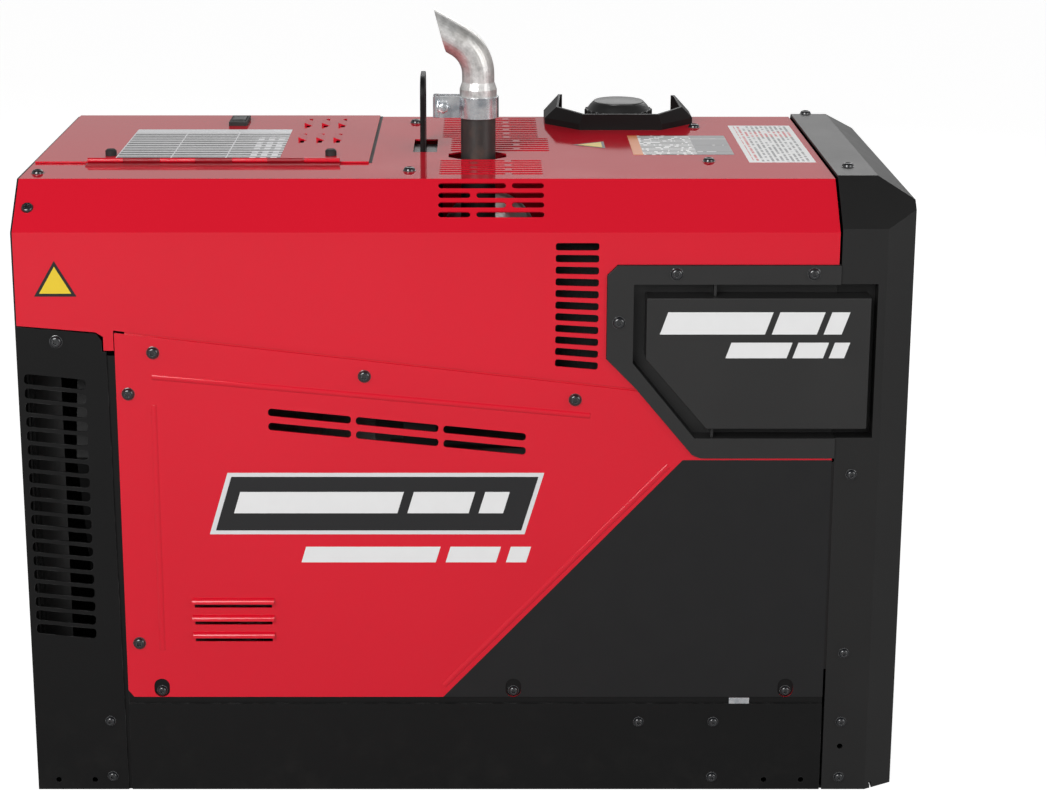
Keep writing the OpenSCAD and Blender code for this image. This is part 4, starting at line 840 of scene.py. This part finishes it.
# A painted shadow: a dark strip on the roof beside the lid, where the gap between lid and roof falls in shade.
gap_shadow, GAP_SHADOW_WIDTH = material("lid_gap_shadow", rubber), 3.5
film("hatch_gap_shadow_front", level(lid_x1 - 0.5, lid_x1 + GAP_SHADOW_WIDTH, lid_y0 + 8, lid_y1 + GAP_SHADOW_WIDTH, ROOF), UP, "machine", gap_shadow)
film("hatch_gap_shadow_far", level(lid_x0 + 10, lid_x1 - 0.5, lid_y1 - 0.5, lid_y1 + GAP_SHADOW_WIDTH, ROOF), UP, "machine", gap_shadow)
print("lid mm:", [round(v, 1) for v in (lid_x0, lid_x1, lid_y0, lid_y1)])

# %% [markdown]
# The fuel cap is moulded, with finger grips round its rim. It is raised in small steps from a disc, to a low dome with
# a crisp edge, and the grips are short rounded posts set round the rim.

# %% Fuel cap
low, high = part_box("fuel_cap")
cap_middle, cap_radius, cap_height = (low + high) / 2, (high.x - low.x) / 2 - 2 * MM, high.z - low.z
# How far across and how high each step of the cap stands, as shares of its radius and height.
shares = [(0.96, 0), (1, 0.05), (1, 0.42), (0.97, 0.48), (0.90, 0.66), (0.82, 0.80), (0.79, 0.83), (0.78, 0.88),
          (0.75, 0.905), (0.62, 0.94), (0.45, 0.97), (0.25, 0.99), (0.05, 1)]
profile = [(cap_radius * across, cap_height * up) for across, up in shares]
dome = turned("fuel_cap_made", profile, 72, (cap_middle.x, cap_middle.y, low.z))
grips, GRIPS = [], 24
grip_steps = [(2.2 * MM, 1 * MM), (3.2 * MM, 2 * MM), (3.2 * MM, cap_height * 0.40), (2.4 * MM, cap_height * 0.46)]
for i in range(GRIPS):
    angle, reach = radians(i * 360 / GRIPS), cap_radius * 0.985
    foot = (cap_middle.x + reach * cos(angle), cap_middle.y + reach * sin(angle), low.z)
    grips.append(turned("grip", grip_steps, 10, foot))
dome = join("fuel_cap_made", [dome, *grips])
cap_plastic = material("cap_plastic", moulded(0.010, 0.016, 0.30, 420, 0.00003))
dome.data.materials.append(cap_plastic)
smooth(dome, 40)
stands_for(dome, "fuel_cap")

# %% [markdown]
# Six small louvres are pressed up out of the hatch lid. Each starts as a block whose front edge is pulled down to the
# lid, so that it rises toward the rear, and a bevel makes the pressing soft.

# %% Louvres on the hatch
LOUVRE_WIDE, LOUVRE_HIGH = 11, 4.4


def louvre(x, y0, y1):
    """One pressed louvre across the lid, in mm."""
    bpy.ops.object.select_all(action="DESELECT")
    bpy.ops.mesh.primitive_cube_add(size=1, location=(x * MM, (y0 + y1) / 2 * MM, (LID + 1.9) * MM),
                                    scale=(LOUVRE_WIDE * MM, (y1 - y0) * MM, LOUVRE_HIGH * MM))
    made = bpy.context.object
    bpy.ops.object.transform_apply()
    edit("DESELECT")
    leave()
    for vertex in made.data.vertices:
        vertex.select = vertex.co.x > x * MM and vertex.co.z > (LID + 2) * MM
    for polygon in made.data.polygons:
        polygon.select = False
    bpy.ops.object.mode_set(mode="EDIT")
    bpy.ops.transform.translate(value=(0, 0, (0.2 - LOUVRE_HIGH) * MM))
    leave()
    apply(made, "BEVEL", width=1.2 * MM, segments=3, limit_method="ANGLE", angle_limit=radians(20))
    return made


louvres = join("hatch_louvres", [louvre(x, y0, y1) for x in (-216, -193, -171) for y0, y1 in ((24, 58), (132, 166))])
louvres.data.materials.append(finishes["red_paint"])
smooth(louvres, 40)
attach(louvres, "hatch")

# %% [markdown]
# A band clamp holds the rain elbow on the pipe. It is one strip of zinc-plated steel: round the sleeve, out into two
# flat ears with rolled ends, with a bolt through them. The node's copy is bevelled, and the rolls and the bolt's head
# are turned.

# %% Band clamp
low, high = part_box("exhaust_clamp")
clamp = copy_of("exhaust_clamp")
apply(clamp, "BEVEL", width=0.8 * MM, segments=2, limit_method="ANGLE", angle_limit=radians(28))
smooth(clamp)
stands_for(clamp, "exhaust_clamp")
bolt_x, bolt_z = low.x + 13 * MM, (low.z + high.z) / 2
nut = turned("clamp_bolt", [(across * MM, up * MM) for across, up in (
    (6.6, 0), (7.6, 0.6), (7.6, 1.4), (6.4, 1.5), (6.4, 5), (5.4, 5.6), (3.1, 5.7), (3.0, 8.5), (2.4, 9))], 6)
smooth(nut, 40)
clamp_y, ear_high, rolls = (low.y + high.y) / 2, high.z - low.z, []
ROLL, ROLL_SOFT, EAR_Y = 4.4 * MM, 0.8 * MM, 7.5 * MM
for side in (-1, 1):
    roll = turned("clamp_roll", [(ROLL - ROLL_SOFT, 0), (ROLL, ROLL_SOFT), (ROLL, ear_high - ROLL_SOFT),
                                 (ROLL - ROLL_SOFT, ear_high)], 28, (low.x + ROLL, clamp_y + side * EAR_Y, low.z))
    smooth(roll, 40)
    rolls.append(roll)
rolls = join("clamp_rolls", rolls)
rolls.data.materials.append(finishes["zinc"])
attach(rolls, "machine")
nut.matrix_world = Matrix.Translation((bolt_x, clamp_y - 16 * MM, bolt_z)) @ Matrix.Rotation(radians(90), 4, "X")
alone(nut)
bpy.ops.object.transform_apply()
nut.data.materials.append(finishes["zinc"])
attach(nut, "machine")
print("clamp box mm:", [round(v / MM, 1) for v in (*low, *high)])

# %% [markdown]
# Two short ribs stiffen the pocket of the name frame, above and below the plate.

# %% Pocket ribs
for side, label in ((-1, "near"), (1, "far")):
    face = side * 272
    for place, (z0, z1) in (("top", (632, 647)), ("low", (458, 471))):
        sheet(f"pocket_rib_{place}_{label}", upright(287.4, 290.6, z0, z1, face), (0, -side, 0), 12,
              finishes["frame_plastic"], soft=0.5)

# %% [markdown]
# The control panel is a steel plate with a printed film over it. The film has plain frames round each group of
# controls, and a ring of ticks round each dial. A ring of ticks is worked out from the angle and the distance of a
# point from the dial's middle, so one short function serves all of them.

# %% Printed film of the control panel
FACE = 500
DIALS = {"output_knob": (-150, 640, 24, 11), "mode_knob": (150, 660, 20, 8), "arc_knob": (150, 580, 16, 9)}
GROUPS = [(-228, -92, 520, 700), (92, 228, 535, 700), (-84, 84, 530, 700), (-200, -100, 330, 482),
          (100, 200, 330, 482), (-88, 88, 318, 482), (-60, 60, 236, 306)]
LINE = 1.2 * MM


def frame_line(across, up, group):
    """1 on the outline of a group of controls."""
    y0, y1, z0, z1 = (v * MM for v in group)
    outer = inside(across, y0, y1) * inside(up, z0, z1)
    inner = inside(across, y0 + LINE, y1 - LINE) * inside(up, z0 + LINE, z1 - LINE)
    return outer - inner


def heading(across, up, group):
    """1 on the strip under a group's top line, where a heading goes."""
    y0, y1, z0, z1 = group
    return inside(across, (y0 + 12) * MM, (y1 - 12) * MM) * inside(up, (z1 - 9) * MM, (z1 - 5) * MM)


def ticks(across, up, dial):
    """1 on the marks round a dial, which leave its lower quarter free."""
    y0, z0, radius, count = dial
    dy, dz = across - y0 * MM, up - z0 * MM
    distance = (dy * dy + dz * dz).math("SQRT")
    turn = dy.math("ARCTAN2", dz) * (1 / (2 * pi)) + 0.5
    marks = (turn * (count * 4 / 3)).math("FRACT") < 0.10
    return marks * inside(distance, (radius + 5) * MM, (radius + 10) * MM) * inside(turn, 0.125, 0.875)


def panel_print(s):
    x, y, z = s.axes()
    lines, heads = frame_line(y, z, GROUPS[0]), heading(y, z, GROUPS[0])
    for group in GROUPS[1:]:
        lines = lines + frame_line(y, z, group)
        heads = heads + heading(y, z, group)
    for dial in DIALS.values():
        lines = lines + ticks(y, z, dial)
    ink = (lines + heads * print_rows(s, y, z, 0.0084, 60)).math("MINIMUM", 1.0)
    ground = s.mix(s.noise(20, 4), colour(0.022, 0.022, 0.024), colour(0.030, 0.030, 0.032))
    return {"Base Color": s.mix(ink, ground, colour(0.72, 0.72, 0.72)), "Roughness": 0.34 + 0.12 * s.noise(25, 5),
            "Normal": s.bump(s.noise(800, 2), 0.00001)}


panel_ink = material("panel_ink", panel_print)
front = [(FACE + 0.02, y, z) for y, z in ((-236, 212), (236, 212), (236, 712), (-236, 712))]
film("panel_film", front, (1, 0, 0), "machine", panel_ink)
print("frames:", len(GROUPS), "dials:", len(DIALS))

# %% [markdown]
# A knob needs a pointer, or its setting can't be read. Each pointer is a thin white bar let into the knob's face, and
# it rides on the knob, so it turns with it.

# %% Pointers
def pointer(node, length, start=0.25, width=2.2):
    """A bar from a share of its length to its full length above the middle of a knob."""
    low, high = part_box(node)
    y0, z0 = (low.y + high.y) / 2 / MM, (low.z + high.z) / 2 / MM
    x = high.x / MM - 0.3
    corners = [(x, y0 - width / 2, z0 + start * length), (x, y0 + width / 2, z0 + start * length),
               (x, y0 + width / 2, z0 + length), (x, y0 - width / 2, z0 + length)]
    return sheet(node + "_pointer", corners, (1, 0, 0), 0.6, white_ink, body_of[node], soft=0.1)


for node, (_, _, radius, _) in DIALS.items():
    pointer(node, radius * 0.72)
pointer("engine_switch", 9, 0.3, 1.8)

# %% [markdown]
# The display is a sheet of dark glass that shows two plain bars and a block, as a meter does at rest. The bars glow a
# little, so they read in a dim room as well.

# %% Display
def lit_screen(s):
    x, y, z = s.axes()
    bars = inside(y, -0.052, 0.010) * (inside(z, 0.655, 0.667) + inside(z, 0.615, 0.627))
    block_lit = inside(y, 0.024, 0.052) * inside(z, 0.615, 0.667)
    lit = (bars + block_lit).math("MINIMUM", 1.0)
    return {"Base Color": s.mix(lit, colour(0.010, 0.014, 0.020), colour(0.45, 0.55, 0.62)),
            "Emission Color": s.mix(lit, colour(0.002, 0.004, 0.006), colour(0.25, 0.33, 0.38)),
            "Roughness": 0.10 + 0.06 * s.noise(20, 4)}


low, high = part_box("display")
screen_x = high.x / MM - 0.1
screen = [(screen_x, y, z) for y, z in ((-64, 602), (64, 602), (64, 680), (-64, 680))]
sheet("display_screen", screen, (1, 0, 0), 0.5, material("lit_screen", lit_screen, Emission_Strength=0.6), soft=0.15)

# %% [markdown]
# Controls that a hand goes to have their own shades: grey receptacle faces and keys, black knobs and breaker buttons,
# a red engine switch. The edges of all the small parts are rounded in the same way as the sheets.

# %% Small controls
socket_grey = material("socket_grey", moulded(0.045, 0.070, 0.36, 500, 0.00004))
knob_black = material("knob_black", moulded(0.010, 0.016, 0.30, 600, 0.00004))
key_grey = material("key_grey", moulded(0.10, 0.14, 0.5, 500, 0.00004))
breaker_red = material("breaker_red", plain_ink((0.45, 0.012, 0.015), 0.3))
# A finish of None leaves a node the finish of its slot.
SMALL = {"receptacles": socket_grey, "output_knob": knob_black, "mode_knob": knob_black, "arc_knob": knob_black,
         "engine_switch": breaker_red, "key_left": key_grey, "key_right": key_grey, "breaker_left": knob_black,
         "breaker_right": knob_black, "stud_cover": finishes["frame_plastic"], "display": finishes["bezel_plastic"],
         "hatch_latch": finishes["frame_plastic"], "hatch_trim": finishes["rubber"], "output_studs": finishes["zinc"],
         "door_tabs": finishes["zinc"], "exhaust_pipe": None}
for name, paint in SMALL.items():
    piece = rounded(name, 0.5, 2, 30)
    if paint:
        piece.data.materials.clear()
        piece.data.materials.append(paint)
print("small controls:", len(SMALL))
